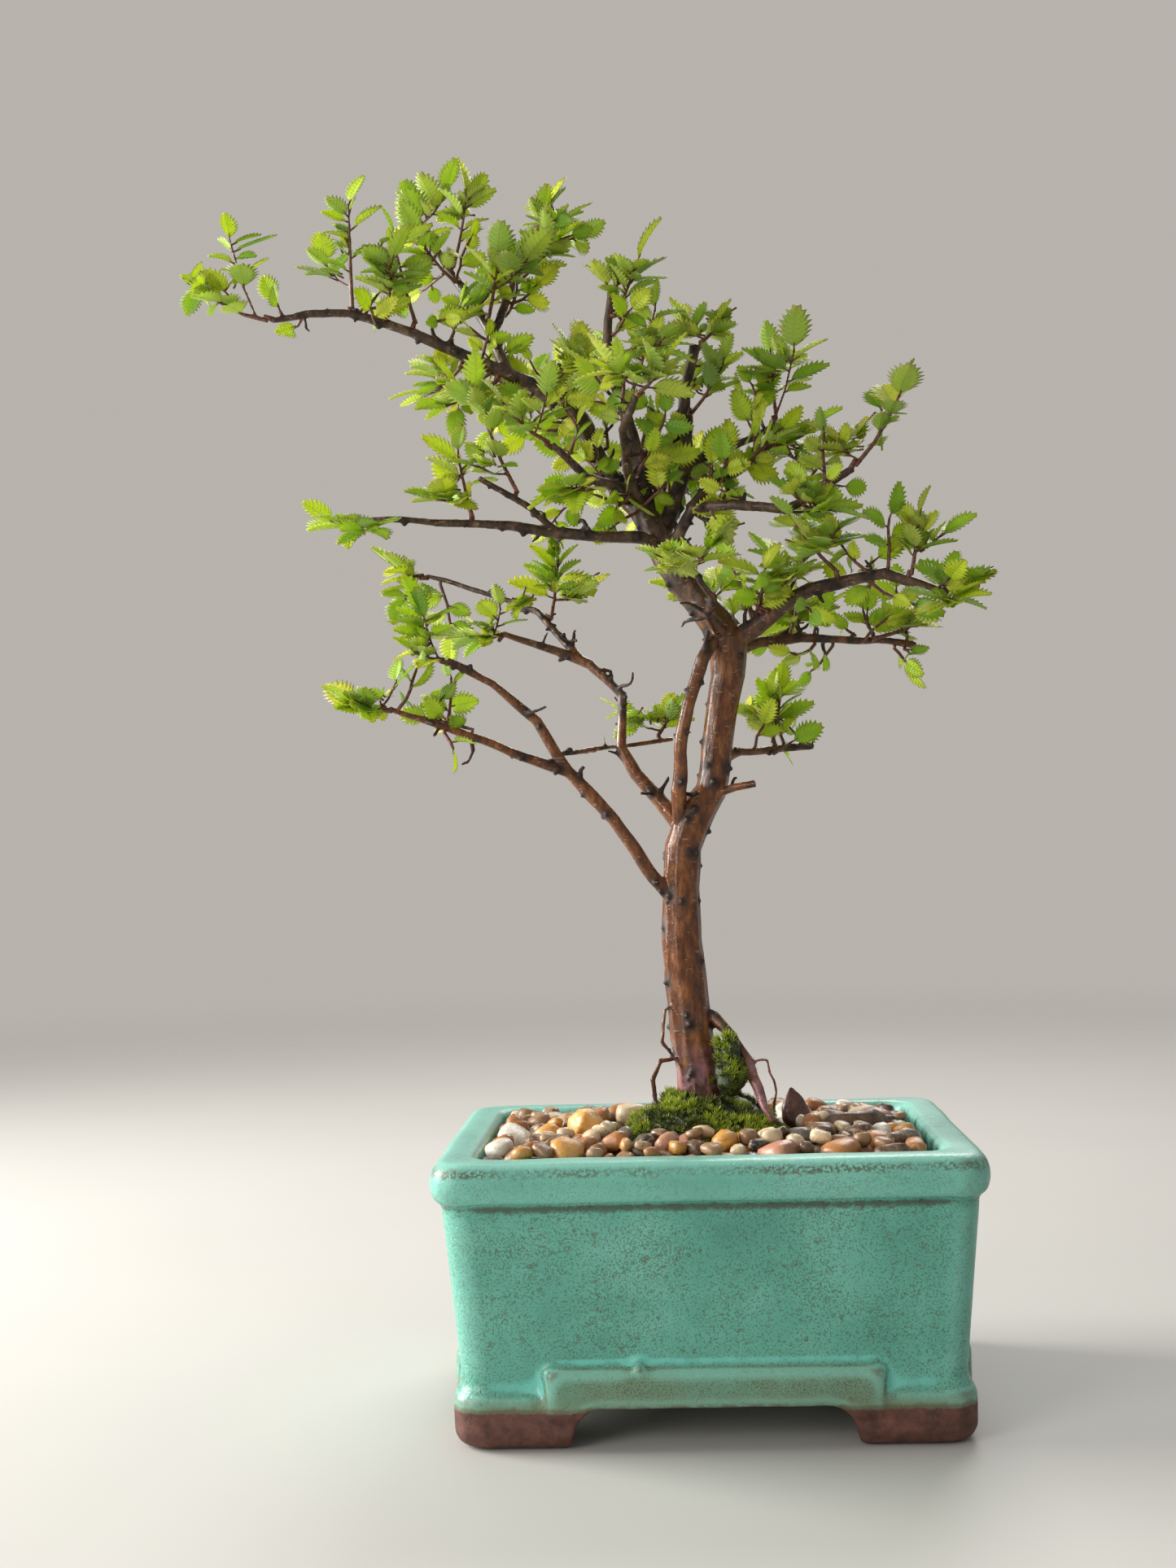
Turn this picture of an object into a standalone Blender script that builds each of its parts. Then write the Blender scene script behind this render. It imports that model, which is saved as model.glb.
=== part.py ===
"""A small elm bonsai in a glazed rectangular pot.

The pot stands on four bracket feet. Inside it, from the floor up, lie two plastic drain meshes with
the wire that ties them down, the soil, a bed of gravel with a few larger stones, and moss round the
trunk. The trunk, its branches and its roots are one grown piece. Each leafy shoot is a piece of its own.

Frame: +Z up, front at -Y. It is modelled about the middle of the pot's foot, and at the end it is
moved so that the origin is on the surface it stands on, below the middle of the whole object.
Sizes are in millimetres and become metres where a mesh is made.
"""

import math
import random

import bmesh
import bpy
from mathutils import Matrix, Vector
from mathutils.bvhtree import BVHTree

MM = 0.001

# Clearance between pieces that touch in the real object
GAP = 0.35

# Pot
POT_LENGTH = 152.0
POT_DEPTH = 120.0
POT_HEIGHT = 78.0
RIM_HEIGHT = 12.0
RIM_WIDTH = 12.0
RIM_BULGE = 3.0
RIM_CORNER = 13.0
BODY_TOP_INSET = 2.9
BODY_FOOT_INSET = 6.8
FOOT_INSET = 5.0
FOOT_ROUND = 4.0
FOOT_BAND = 12.0
FOOT_FLARE = 4.5
FOOT_WALL = 11.0
LEG_LENGTH = 33.0
SIDE_LEG_LENGTH = 29.0
ARCH_HEIGHT = 11.5
ARCH_SLOPE = 6.0
FLOOR_THICKNESS = 6.5
CAVITY_CORNER = 8.0
CAVITY_TAPER = 2.5
CAVITY_FILLET = 2.0
PANEL_REACH = 8.0
PANEL_TOP = 22.5
PANEL_RELIEF = 2.2
PANEL_EDGE = 1.6

# Drainage
DRAIN_RADIUS = 7.0
DRAIN_PLACE = 0.5
MESH_CELLS = 3
MESH_CELL = 7.0
MESH_BAR = 1.3
MESH_THICKNESS = 1.0
WIRE_RADIUS = 0.5
WIRE_TAIL = 7.0
WIRE_SAG = 6.0

# Ground, as depths below the rim and heights over it
SOIL_DEPTH = 12.0
GRAVEL_DEPTH = 3.0
GRAVEL_RISE = 3.5
GRAVEL_LUMPS = 0.7
MOUND_HEIGHT = 8.0
MOSS_THICKNESS = 7.0
MOSS_SHARE = 0.40

# Tree
TREE_HEIGHT = 285.0
DRAWN_HEIGHT = 285.0
LEAF_LENGTH = 11.0
LEAF_SHARE = 0.58
LEAF_THICKNESS = 0.9
LEAF_WIDEST = 0.45
LEAF_STALK = 1.9
LEAF_TRIES = 14
ROUTE_TRIES = 12
ROUTE_WANDER = 0.09
WOOD_CLEARANCE = 0.2
TUFT_SIZE = (4.6, 4.6, 10.0)
TUFT_PLACE = (8.2, -6.0, 9.5)
TWIG_RADIUS = 0.85
TWIG_TIP_RADIUS = 0.45
TWIG_SIDES = 4

FLOOR_UNDER = ARCH_HEIGHT
FLOOR_TOP = FLOOR_UNDER + FLOOR_THICKNESS
SOIL_EDGE = POT_HEIGHT - SOIL_DEPTH
GRAVEL_EDGE = POT_HEIGHT - GRAVEL_DEPTH
TREE_SCALE = TREE_HEIGHT / DRAWN_HEIGHT
TREE_BASE = Vector((0.0, 1.0, POT_HEIGHT + MOUND_HEIGHT))
CORNER_STEPS = 4

# Routes of the woody parts, as points from the trunk's base on the soil, each with its radius.
# The trunk's first points are below ground.
TRUNK = [
    (0, 0, -22, 4.0), (0, 0, -12, 7.5), (0, 0, -5, 8.6), (0, 0, 2, 8.0), (-1, 0, 10, 7.0),
    (-3, 0, 19, 6.5), (-4, 0, 33, 6.2), (-5, 0, 48, 5.9), (-5, 0, 63, 5.7), (-4, 0, 75, 5.7),
    (0, 1, 84, 5.8), (5, 2, 92, 4.9), (7, 3, 102, 4.7), (9, 3, 115, 4.8), (11, 3, 126, 5.0),
    (11, 2, 135, 5.7), (8, 1, 143, 5.2), (3, 0, 149, 4.6), (-2, 0, 155, 4.4), (-6, 1, 162, 4.4),
    (-9, 2, 170, 4.4), (-14, 3, 178, 3.9), (-20, 5, 184, 3.5), (-24, 7, 190, 3.2),
    (-27, 8, 197, 3.2), (-31, 7, 205, 3.3), (-37, 5, 212, 3.0), (-44, 2, 216, 2.7),
]
BRANCHES = {
    "top_left": [
        (-41, 3, 215, 2.4), (-53, 0, 220, 2.4), (-63, -2, 224, 2.1), (-72, -4, 228, 1.9),
        (-80, -6, 232, 1.7), (-89, -8, 235, 1.5), (-99, -10, 237, 1.3), (-112, -12, 237, 1.2),
        (-122, -14, 235, 1.0),
    ],
    "crest": [
        (-52, 0, 219, 2.0), (-56, 4, 229, 2.0), (-60, 8, 238, 1.8), (-66, 12, 249, 1.6),
        (-73, 15, 258, 1.5), (-78, 17, 270, 1.4),
    ],
    "crown": [(-58, 6, 233, 1.4), (-53, 13, 248, 1.2), (-48, 20, 260, 1.1), (-46, 24, 269, 0.9)],
    "crest_back": [(-31, 7, 204, 2.0), (-34, 18, 210, 1.7), (-42, 29, 217, 1.4), (-50, 39, 224, 1.1)],
    "leader": [
        (-11, 2, 174, 2.8), (-13, -3, 185, 2.5), (-16, -6, 199, 2.1), (-20, -9, 213, 1.8),
        (-22, -10, 226, 1.4), (-21, -10, 241, 1.2),
    ],
    "mast": [
        (-8, 2, 168, 2.6), (-2, 4, 184, 2.3), (1, 6, 194, 2.1), (0, 7, 204, 1.9), (1, 8, 216, 1.8),
        (4, 9, 229, 1.8),
    ],
    "left_arm": [(-10, 0, 172, 2.0), (-16, -8, 182, 1.8), (-29, -15, 185, 1.5), (-39, -20, 194, 1.1)],
    "front_crown": [(-14, 1, 178, 1.9), (-17, -13, 187, 1.6), (-18, -27, 196, 1.3), (-14, -39, 203, 1.0)],
    "back_crown": [(-9, 2, 170, 2.2), (-4, 15, 178, 1.9), (-8, 29, 188, 1.5), (-4, 43, 196, 1.1)],
    "right_long": [
        (-6, 1, 163, 2.2), (2, -5, 176, 1.9), (14, -9, 177, 1.7), (29, -12, 174, 1.5),
        (39, -13, 179, 1.3), (49, -14, 185, 1.1),
    ],
    "right_inner": [(1, -4, 176, 1.8), (7, 1, 183, 1.6), (16, 6, 189, 1.4), (27, 13, 198, 1.1)],
    "right_upper": [(0, 6, 192, 1.8), (13, 12, 198, 1.5), (22, 16, 201, 1.3), (29, 20, 206, 1.1)],
    "right_arm": [
        (10, 2, 136, 3.2), (20, 0, 141, 3.0), (28, -3, 147, 2.7), (36, -6, 151, 2.3),
        (47, -9, 153, 2.0), (57, -10, 154, 1.7), (66, -11, 151, 1.4), (74, -12, 148, 1.2),
    ],
    "right_low": [
        (11, 3, 133, 2.0), (21, 8, 137, 1.8), (34, 13, 138, 1.6), (47, 18, 138, 1.4),
        (58, 22, 138, 1.2), (70, 26, 136, 1.0),
    ],
    "back_low": [(10, 3, 139, 2.3), (9, 16, 145, 1.9), (4, 30, 149, 1.5), (8, 44, 154, 1.1)],
    "front_low": [(10, 0, 138, 1.9), (5, -13, 144, 1.6), (7, -25, 147, 1.3), (1, -36, 153, 1.0)],
    "left_long": [
        (-7, 1, 166, 2.2), (-14, -6, 168, 2.1), (-25, -10, 168, 1.9), (-39, -14, 169, 1.8),
        (-52, -17, 171, 1.5), (-67, -19, 172, 1.2), (-81, -21, 173, 0.9), (-93, -22, 173, 0.8),
    ],
    "left_fork": [(-38, -14, 169, 1.2), (-46, -17, 176, 1.1), (-60, -24, 184, 0.9)],
    "second_stem": [
        (-4, 0, 80, 2.6), (-5, -5, 92, 2.3), (-4, -8, 103, 2.1), (-1, -9, 118, 2.0),
        (3, -7, 131, 2.1), (8, -1, 140, 2.2),
    ],
    "mid_left": [
        (-3, 2, 80, 2.8), (-11, 4, 90, 2.3), (-18, 6, 98, 2.1), (-22, 8, 106, 2.0),
        (-21, 10, 122, 1.8), (-31, 12, 132, 1.5), (-42, 12, 137, 1.3), (-57, 7, 142, 1.0),
    ],
    "mid_far": [
        (-34, 12, 134, 1.3), (-47, 22, 150, 1.2), (-66, 31, 159, 0.9), (-84, 37, 165, 0.8),
    ],
    "low_left": [
        (-6, 0, 58, 2.6), (-13, -3, 67, 2.2), (-24, -7, 84, 2.0), (-38, -11, 99, 1.9),
        (-46, -13, 114, 1.6), (-58, -16, 125, 1.3), (-71, -20, 132, 1.0),
    ],
    "low_spur": [(-37, -11, 98, 1.7), (-55, -17, 105, 1.4), (-71, -23, 112, 1.2), (-87, -29, 118, 1.0)],
    "back_link": [(-41, -12, 104, 1.0), (-33, -2, 105, 1.0), (-22, 16, 107, 0.9), (-6, 24, 109, 0.8)],
    "back_stub": [(7, 4, 100, 1.7), (14, 12, 104, 1.5), (26, 22, 105, 1.4), (38, 29, 106, 1.4)],
    "cut_stub": [(4, 2, 90, 1.6), (12, -3, 93, 1.4), (18, -5, 94, 1.3)],
}
ROOTS = {
    "root_right": [
        (3, 0, 25, 2.2), (9, -4, 19, 1.7), (13, -7, 12, 1.6), (16, -11, 3, 1.5), (20, -15, -5, 1.2),
    ],
    "root_front": [(0, -3, -3, 4.0), (-5, -13, -9, 2.6), (-10, -22, -16, 1.2)],
    "root_left": [(-3, 0, -3, 4.2), (-14, 3, -9, 2.6), (-26, 8, -17, 1.2)],
    "root_back": [(0, 3, -3, 4.0), (5, 15, -10, 2.4), (12, 25, -18, 1.2)],
    "root_right_low": [(3, 0, -4, 4.0), (14, 4, -10, 2.5), (26, 6, -18, 1.2)],
    "root_hanging": [(-5, -2, 31, 0.5), (-11, -4, 27, 0.45), (-12, -5, 18, 0.45), (-6, -4, 10, 0.5)],
    "root_looping": [(-5, -1, 13, 0.8), (-13, -4, 12, 0.7), (-15, -6, 7, 0.65), (-13, -7, -3, 0.6)],
    "root_wiry": [(12, -6, 12, 0.6), (19, -7, 12, 0.45), (21, -8, 6, 0.45), (21, -9, -3, 0.45)],
}

# Shoots: the branch and the share of its length where one leaves it, the tip from there, the leaves,
# and its side twigs as share of the shoot, tip from there and leaves.
SHOOTS = {
    "top_tip": ("top_left", 1.0, (-21, -1, 11), 6, [(0.15, (-7, -3, 23), 5)]),
    "top_upright": ("top_left", 0.72, (0, -3, 33), 6, [(0.2, (-9, 6, 10), 4)]),
    "top_fan": ("top_left", 0.60, (3, -10, 15), 7, []),
    "top_spur": ("top_left", 0.48, (-7, -3, 29), 7, [(0.4, (-7, 6, 9), 4)]),
    "top_stub": ("top_left", 0.38, (4, 10, 17), 6, [(0.5, (9, 2, 8), 4)]),
    "top_under": ("top_left", 0.30, (-15, 13, -8), 7, [(0.4, (-2, 8, 6), 4)]),
    "top_under_front": ("top_left", 0.16, (-17, -13, -12), 7, [(0.5, (-9, -1, 6), 4)]),
    "crest_tip": ("crest", 1.0, (-5, 2, 9), 6, [(0.3, (8, -5, 7), 4)]),
    "crest_left": ("crest", 0.62, (-12, -11, 13), 7, []),
    "crest_needle": ("crest", 0.72, (6, -6, 22), 5, []),
    "crest_right": ("crest", 0.35, (5, -11, 17), 7, [(0.5, (9, -3, 6), 4)]),
    "crown_tip": ("crown", 1.0, (4, 2, 8), 6, [(0.3, (9, -3, 2), 4)]),
    "crown_right": ("crown", 0.5, (13, -8, 12), 7, [(0.5, (6, 4, 8), 4)]),
    "crest_back_tip": ("crest_back", 1.0, (-9, 8, 5), 7, [(0.3, (6, 8, 8), 5)]),
    "crest_back_mid": ("crest_back", 0.55, (9, 5, 14), 7, [(0.5, (8, -5, 4), 4)]),
    "leader_tip": ("leader", 0.85, (9, -7, 17), 6, [(0.3, (-7, 3, 8), 4)]),
    "leader_left": ("leader", 0.62, (-13, 7, 10), 7, [(0.5, (-3, 8, 8), 4)]),
    "leader_front": ("leader", 0.48, (10, -9, 28), 7, [(0.5, (5, -8, 2), 4)]),
    "mast_tip": ("mast", 1.0, (7, 3, 6), 5, [(0.3, (-6, 7, 7), 4)]),
    "mast_side": ("mast", 0.62, (12, -8, 15), 6, [(0.4, (-4, 9, 6), 4)]),
    "left_arm_tip": ("left_arm", 1.0, (-13, -5, 11), 7, [(0.3, (4, -8, 8), 4)]),
    "left_arm_under": ("left_arm", 0.6, (-8, -10, -4), 6, []),
    "front_crown_tip": ("front_crown", 1.0, (8, -8, 6), 7, [(0.3, (-9, -6, 4), 5)]),
    "back_crown_tip": ("back_crown", 1.0, (-6, 10, 6), 7, [(0.3, (10, 5, 5), 5)]),
    "back_crown_mid": ("back_crown", 0.6, (14, 4, 12), 7, [(0.5, (2, 9, 4), 4)]),
    "right_upper_tip": ("right_upper", 1.0, (-1, 2, 22), 7, [(0.08, (6, -4, 19), 5)]),
    "right_inner_tip": ("right_inner", 1.0, (11, -6, 3), 6, [(0.3, (4, 9, -4), 4)]),
    "right_long_tip": ("right_long", 1.0, (15, 0, 23), 7, [(0.08, (-5, 9, 8), 5)]),
    "right_long_mid": ("right_long", 0.72, (8, -9, -4), 5, [(0.4, (-5, -6, 3), 3)]),
    "right_arm_red": ("right_arm", 0.86, (3, -2, 19), 8, [(0.4, (9, 5, 6), 5)]),
    "right_arm_tip": ("right_arm", 1.0, (1, -6, -4), 6, [(0.3, (2, 6, 9), 4)]),
    "right_arm_riser": ("right_arm", 0.60, (-16, -4, 18), 5, [(0.4, (6, -6, 7), 4)]),
    "right_arm_inner": ("right_arm", 0.26, (12, 9, 22), 7, [(0.45, (-8, 5, 7), 5)]),
    "right_arm_base": ("right_arm", 0.16, (2, -11, 15), 7, [(0.5, (9, -3, 4), 4)]),
    "right_low_long": ("right_low", 0.66, (27, 1, 8), 7, [(0.4, (5, 9, 3), 4)]),
    "right_low_mid": ("right_low", 0.42, (-3, 9, 12), 6, [(0.5, (8, 4, 3), 4)]),
    "back_low_tip": ("back_low", 1.0, (-9, 8, 4), 7, [(0.25, (9, 5, 7), 5)]),
    "front_low_tip": ("front_low", 1.0, (-8, -7, 2), 6, [(0.25, (7, -7, 5), 4)]),
    "left_long_tip": ("left_long", 0.97, (-12, -2, -1), 5, [(0.2, (3, -9, -3), 3)]),
    "left_long_upright": ("left_long", 0.66, (-4, -5, 20), 6, [(0.3, (-8, -6, -1), 5)]),
    "left_long_curl": ("left_fork", 0.45, (-13, -6, 32), 6, [(0.2, (-9, -3, 3), 4)]),
    "mid_far_tip": ("mid_far", 1.0, (-9, 2, 2), 7, [(0.2, (-3, -9, -8), 5)]),
    "mid_far_inner": ("mid_far", 0.25, (3, 4, 21), 7, [(0.3, (9, 6, 3), 4)]),
    "mid_left_tip": ("mid_left", 1.0, (-8, -3, -1), 7, [(0.3, (3, -6, 8), 4)]),
    "low_left_tip": ("low_left", 1.0, (-9, -2, 2), 7, [(0.2, (-5, 5, 14), 5)]),
    "low_spur_tip": ("low_spur", 1.0, (-10, -3, 0), 7, [(0.2, (4, 5, 8), 3)]),
    "back_stub_top": ("back_stub", 0.6, (4, 4, 18), 7, [(0.3, (-9, 5, 5), 4)]),
    "back_link_end": ("back_link", 0.85, (6, 5, 8), 7, [(0.3, (-9, -2, 4), 4)]),
}

# Larger stones: place as shares of the cavity's half length and half depth, half sizes and turn.
STONES = {
    "stone_red_brown": (0.45, 0.20, (6.0, 4.0, 6.5), 20),
    "stone_slab": (0.70, -0.02, (10.0, 5.0, 3.5), 12),
    "stone_orange": (-0.55, -0.16, (5.6, 5.0, 4.8), -20),
}


def at_origin(name, mesh, collection):
    """A new object for a mesh, in the collection that it belongs to."""
    obj = bpy.data.objects.new(name, mesh)
    collection.objects.link(obj)
    return obj


def clear_scene():
    """Removes whatever the scene holds, and returns the collections for the parts and for cutters."""
    for obj in list(bpy.data.objects):
        bpy.data.objects.remove(obj)
    parts = bpy.data.collections.new("bonsai")
    cutters = bpy.data.collections.new("cutters")
    for collection in (parts, cutters):
        bpy.context.scene.collection.children.link(collection)
    return parts, cutters


def hide_helper(obj):
    """Marks an object that only cuts, joins or guides."""
    obj.hide_render = True
    obj.display_type = "WIRE"
    return obj


def new_material(name, colour, roughness, metallic=0.0):
    material = bpy.data.materials.new(name)
    material.use_nodes = True
    shader = material.node_tree.nodes["Principled BSDF"]
    shader.inputs["Base Color"].default_value = (*colour, 1.0)
    shader.inputs["Roughness"].default_value = roughness
    shader.inputs["Metallic"].default_value = metallic
    return material


def mesh_from(bm, name):
    """Turns a bmesh, in millimetres, into a mesh in metres with its faces pointing out."""
    bmesh.ops.recalc_face_normals(bm, faces=bm.faces)
    bmesh.ops.scale(bm, vec=(MM, MM, MM), verts=bm.verts)
    mesh = bpy.data.meshes.new(name)
    bm.to_mesh(mesh)
    bm.free()
    return mesh


def boolean(obj, operation, other):
    """Adds an exact Boolean with an object, or with all the objects of a collection, which may overlap."""
    modifier = obj.modifiers.new(operation.lower(), "BOOLEAN")
    modifier.operation = operation
    modifier.solver = "EXACT"
    if isinstance(other, bpy.types.Collection):
        modifier.operand_type = "COLLECTION"
        modifier.collection = other
        modifier.use_self = True
    else:
        modifier.object = other


# ---------------------------------------------------------------- rounded rectangular rings


def plan(length, depth, corner, z):
    """The points of a rounded rectangle about the Z axis, four corners of equal steps."""
    corner = max(min(corner, length / 2 - 0.01, depth / 2 - 0.01), 0.5)
    points = []
    for quarter, (sx, sy) in enumerate(((1, 1), (-1, 1), (-1, -1), (1, -1))):
        centre_x, centre_y = sx * (length / 2 - corner), sy * (depth / 2 - corner)
        for step in range(CORNER_STEPS + 1):
            angle = math.pi / 2 * (quarter + step / CORNER_STEPS)
            x = centre_x + corner * math.cos(angle)
            y = centre_y + corner * math.sin(angle)
            points.append(Vector((x, y, z)))
    return points


def loft(rings, closed=False):
    """A bmesh through rings of equal point counts, capped at both ends or closed on itself."""
    bm = bmesh.new()
    rows = [[bm.verts.new(point) for point in ring] for ring in rings]
    pairs = list(zip(rows, rows[1:])) + ([(rows[-1], rows[0])] if closed else [])
    for low, high in pairs:
        for i in range(len(low)):
            j = (i + 1) % len(low)
            bm.faces.new((low[i], low[j], high[j], high[i]))
    if not closed:
        bm.faces.new(rows[0])
        bm.faces.new(rows[-1])
    return bm


def pot_plan(inset, z, corner):
    """A ring of the pot at this distance inside the rim's outermost face."""
    return plan(POT_LENGTH - 2 * inset, POT_DEPTH - 2 * inset, corner, z)


def cavity_inset(z):
    """How far inside the rim's outermost face the cavity's wall is at a height."""
    share = (POT_HEIGHT - z) / (POT_HEIGHT - FLOOR_TOP)
    return RIM_WIDTH + CAVITY_TAPER * share


def cavity_ring(share, z, height_for_wall):
    """A ring of the ground, where share 1 touches the cavity's wall, with the clearance to it."""
    inset = cavity_inset(height_for_wall) + GAP
    half_length = share * (POT_LENGTH / 2 - inset)
    half_depth = share * (POT_DEPTH / 2 - inset)
    roundness = CAVITY_CORNER + (half_depth - CAVITY_CORNER) * (1 - share)
    return plan(2 * half_length, 2 * half_depth, roundness, z)


# ---------------------------------------------------------------- pot


def pot_outline():
    """(inset, height, corner radius) up the outside, over the rim and down into the cavity."""
    outline = []
    for degrees in (270, 225, 180):
        angle = math.radians(degrees)
        inset = FOOT_INSET + FOOT_ROUND * (1 + math.cos(angle))
        outline.append((inset, FOOT_ROUND * (1 + math.sin(angle)), RIM_CORNER - inset))
    outline.append((FOOT_INSET, FOOT_BAND, RIM_CORNER - FOOT_INSET))
    outline.append((BODY_FOOT_INSET, FOOT_BAND + FOOT_FLARE, RIM_CORNER - BODY_FOOT_INSET))
    rim_foot = POT_HEIGHT - RIM_HEIGHT
    outline.append((BODY_TOP_INSET, rim_foot - 1.0, RIM_CORNER - BODY_TOP_INSET))
    outline.append((BODY_TOP_INSET + 0.6, rim_foot, RIM_CORNER - BODY_TOP_INSET))
    for degrees in (-70, -45, -15, 15, 45, 70, 90):
        angle = math.radians(degrees)
        inset = RIM_BULGE * (1 - math.cos(angle))
        height = POT_HEIGHT - RIM_HEIGHT / 2 * (1 - math.sin(angle))
        outline.append((inset, height, RIM_CORNER - inset))
    outline.append((RIM_WIDTH - 1.5, POT_HEIGHT, CAVITY_CORNER + 1.5))
    outline.append((RIM_WIDTH, POT_HEIGHT - 1.5, CAVITY_CORNER))
    wall_foot = FLOOR_TOP + CAVITY_FILLET
    outline.append((cavity_inset(wall_foot), wall_foot, CAVITY_CORNER))
    outline.append((cavity_inset(FLOOR_TOP) + CAVITY_FILLET, FLOOR_TOP, CAVITY_CORNER))
    return outline


def arch_cutter(name, length, leg, along, cutters):
    """An extruded bracket outline that opens the foot between two legs, along one axis."""
    half = length / 2 - leg
    corners = [(-half, -1.0), (half, -1.0), (half, 2.0)]
    for step in range(4):
        angle = math.pi / 2 * step / 3
        x = half - ARCH_SLOPE * math.sin(angle)
        corners.append((x, 2.0 + (ARCH_HEIGHT - 2.0) * (1 - math.cos(angle))))
    corners += [(-x, z) for x, z in reversed(corners[2:])]
    curve = bpy.data.curves.new(name, "CURVE")
    curve.dimensions = "2D"
    curve.fill_mode = "BOTH"
    curve.extrude = (POT_LENGTH + POT_DEPTH) / 2 * MM
    spline = curve.splines.new("POLY")
    spline.points.add(len(corners) - 1)
    for point, (x, z) in zip(spline.points, corners):
        point.co = (x * MM, z * MM, 0.0, 1.0)
    spline.use_cyclic_u = True
    guide = hide_helper(at_origin(name, curve, cutters))
    turn = 0.0 if along == "Y" else math.pi / 2
    guide.matrix_world = Matrix.Rotation(turn, 4, "Z") @ Matrix.Rotation(math.pi / 2, 4, "X")
    return curves_to_meshes()[name]


def curves_to_meshes():
    """Puts a mesh object, its caps welded, in the place of each curve, and returns them by name."""
    bpy.context.view_layer.update()
    graph = bpy.context.evaluated_depsgraph_get()
    made = {}
    for guide in [obj for obj in bpy.data.objects if obj.type == "CURVE"]:
        mesh = bpy.data.meshes.new_from_object(guide.evaluated_get(graph))
        bm = bmesh.new()
        bm.from_mesh(mesh)
        bmesh.ops.remove_doubles(bm, verts=bm.verts, dist=0.00001)
        bmesh.ops.recalc_face_normals(bm, faces=bm.faces)
        bm.to_mesh(mesh)
        bm.free()
        name = guide.name
        guide.name = name + "_route"
        obj = at_origin(name, mesh, guide.users_collection[0])
        obj.matrix_world = guide.matrix_world
        obj.hide_render = guide.hide_render
        obj.display_type = guide.display_type
        made[name] = obj
        bpy.data.objects.remove(guide)
    return made


def panel(name, width, side, cutters):
    """The raised tablet above one arch, a rounded slab that overlaps the pot's wall."""
    inset = FOOT_INSET - (PANEL_RELIEF - (BODY_FOOT_INSET - FOOT_INSET))
    depth = 6.0
    height = PANEL_TOP - ARCH_HEIGHT + 3.0
    bm = bmesh.new()
    bmesh.ops.create_cube(bm, size=1.0)
    bmesh.ops.scale(bm, vec=(width, depth, height), verts=bm.verts)
    edges = [edge for edge in bm.edges if all(vert.co.y < 0 for vert in edge.verts)]
    bmesh.ops.bevel(bm, geom=edges, offset=PANEL_EDGE, segments=2, affect="EDGES", profile=0.5)
    half = (POT_DEPTH if side in ("front", "back") else POT_LENGTH) / 2
    middle = Vector((0.0, -half + inset + depth / 2, PANEL_TOP - height / 2))
    bmesh.ops.translate(bm, vec=middle, verts=bm.verts)
    turn = {"front": 0, "right": 90, "back": 180, "left": 270}[side]
    bmesh.ops.rotate(bm, cent=(0, 0, 0), matrix=Matrix.Rotation(math.radians(turn), 3, "Z"), verts=bm.verts)
    return hide_helper(at_origin(name, mesh_from(bm, name), cutters))


def drain_x():
    """How far each drain hole is from the middle of the pot."""
    return DRAIN_PLACE * (POT_LENGTH / 2 - cavity_inset(FLOOR_TOP))


def make_pot(parts, cutters, material):
    """The stoneware pot: body, rim, bracket feet, raised tablets and two drain holes."""
    pot = at_origin("pot", mesh_from(loft([pot_plan(i, z, c) for i, z, c in pot_outline()]), "pot"), parts)
    front_width = POT_LENGTH - 2 * FOOT_INSET - 2 * LEG_LENGTH + 2 * PANEL_REACH
    side_width = POT_DEPTH - 2 * FOOT_INSET - 2 * SIDE_LEG_LENGTH + 2 * PANEL_REACH
    for side in ("front", "right", "back", "left"):
        width = front_width if side in ("front", "back") else side_width
        boolean(pot, "UNION", panel("tablet_" + side, width, side, cutters))
    inner = FOOT_INSET + FOOT_WALL
    hollow = loft([pot_plan(inner, z, RIM_CORNER / 2) for z in (-1.0, FLOOR_UNDER)])
    boolean(pot, "DIFFERENCE", hide_helper(at_origin("hollow", mesh_from(hollow, "hollow"), cutters)))
    for name, length, leg, along in (
        ("arch_front", POT_LENGTH - 2 * FOOT_INSET, LEG_LENGTH, "Y"),
        ("arch_side", POT_DEPTH - 2 * FOOT_INSET, SIDE_LEG_LENGTH, "X"),
    ):
        boolean(pot, "DIFFERENCE", arch_cutter(name, length, leg, along, cutters))
    for side in (-1, 1):
        bm = bmesh.new()
        bmesh.ops.create_cone(
            bm, cap_ends=True, segments=20, radius1=DRAIN_RADIUS, radius2=DRAIN_RADIUS, depth=4 * FLOOR_THICKNESS
        )
        bmesh.ops.translate(bm, vec=(side * drain_x(), 0, FLOOR_UNDER), verts=bm.verts)
        name = "drain_hole_left" if side < 0 else "drain_hole_right"
        boolean(pot, "DIFFERENCE", hide_helper(at_origin(name, mesh_from(bm, name), cutters)))
    pot.data.materials.append(material)


# ---------------------------------------------------------------- drainage


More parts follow.
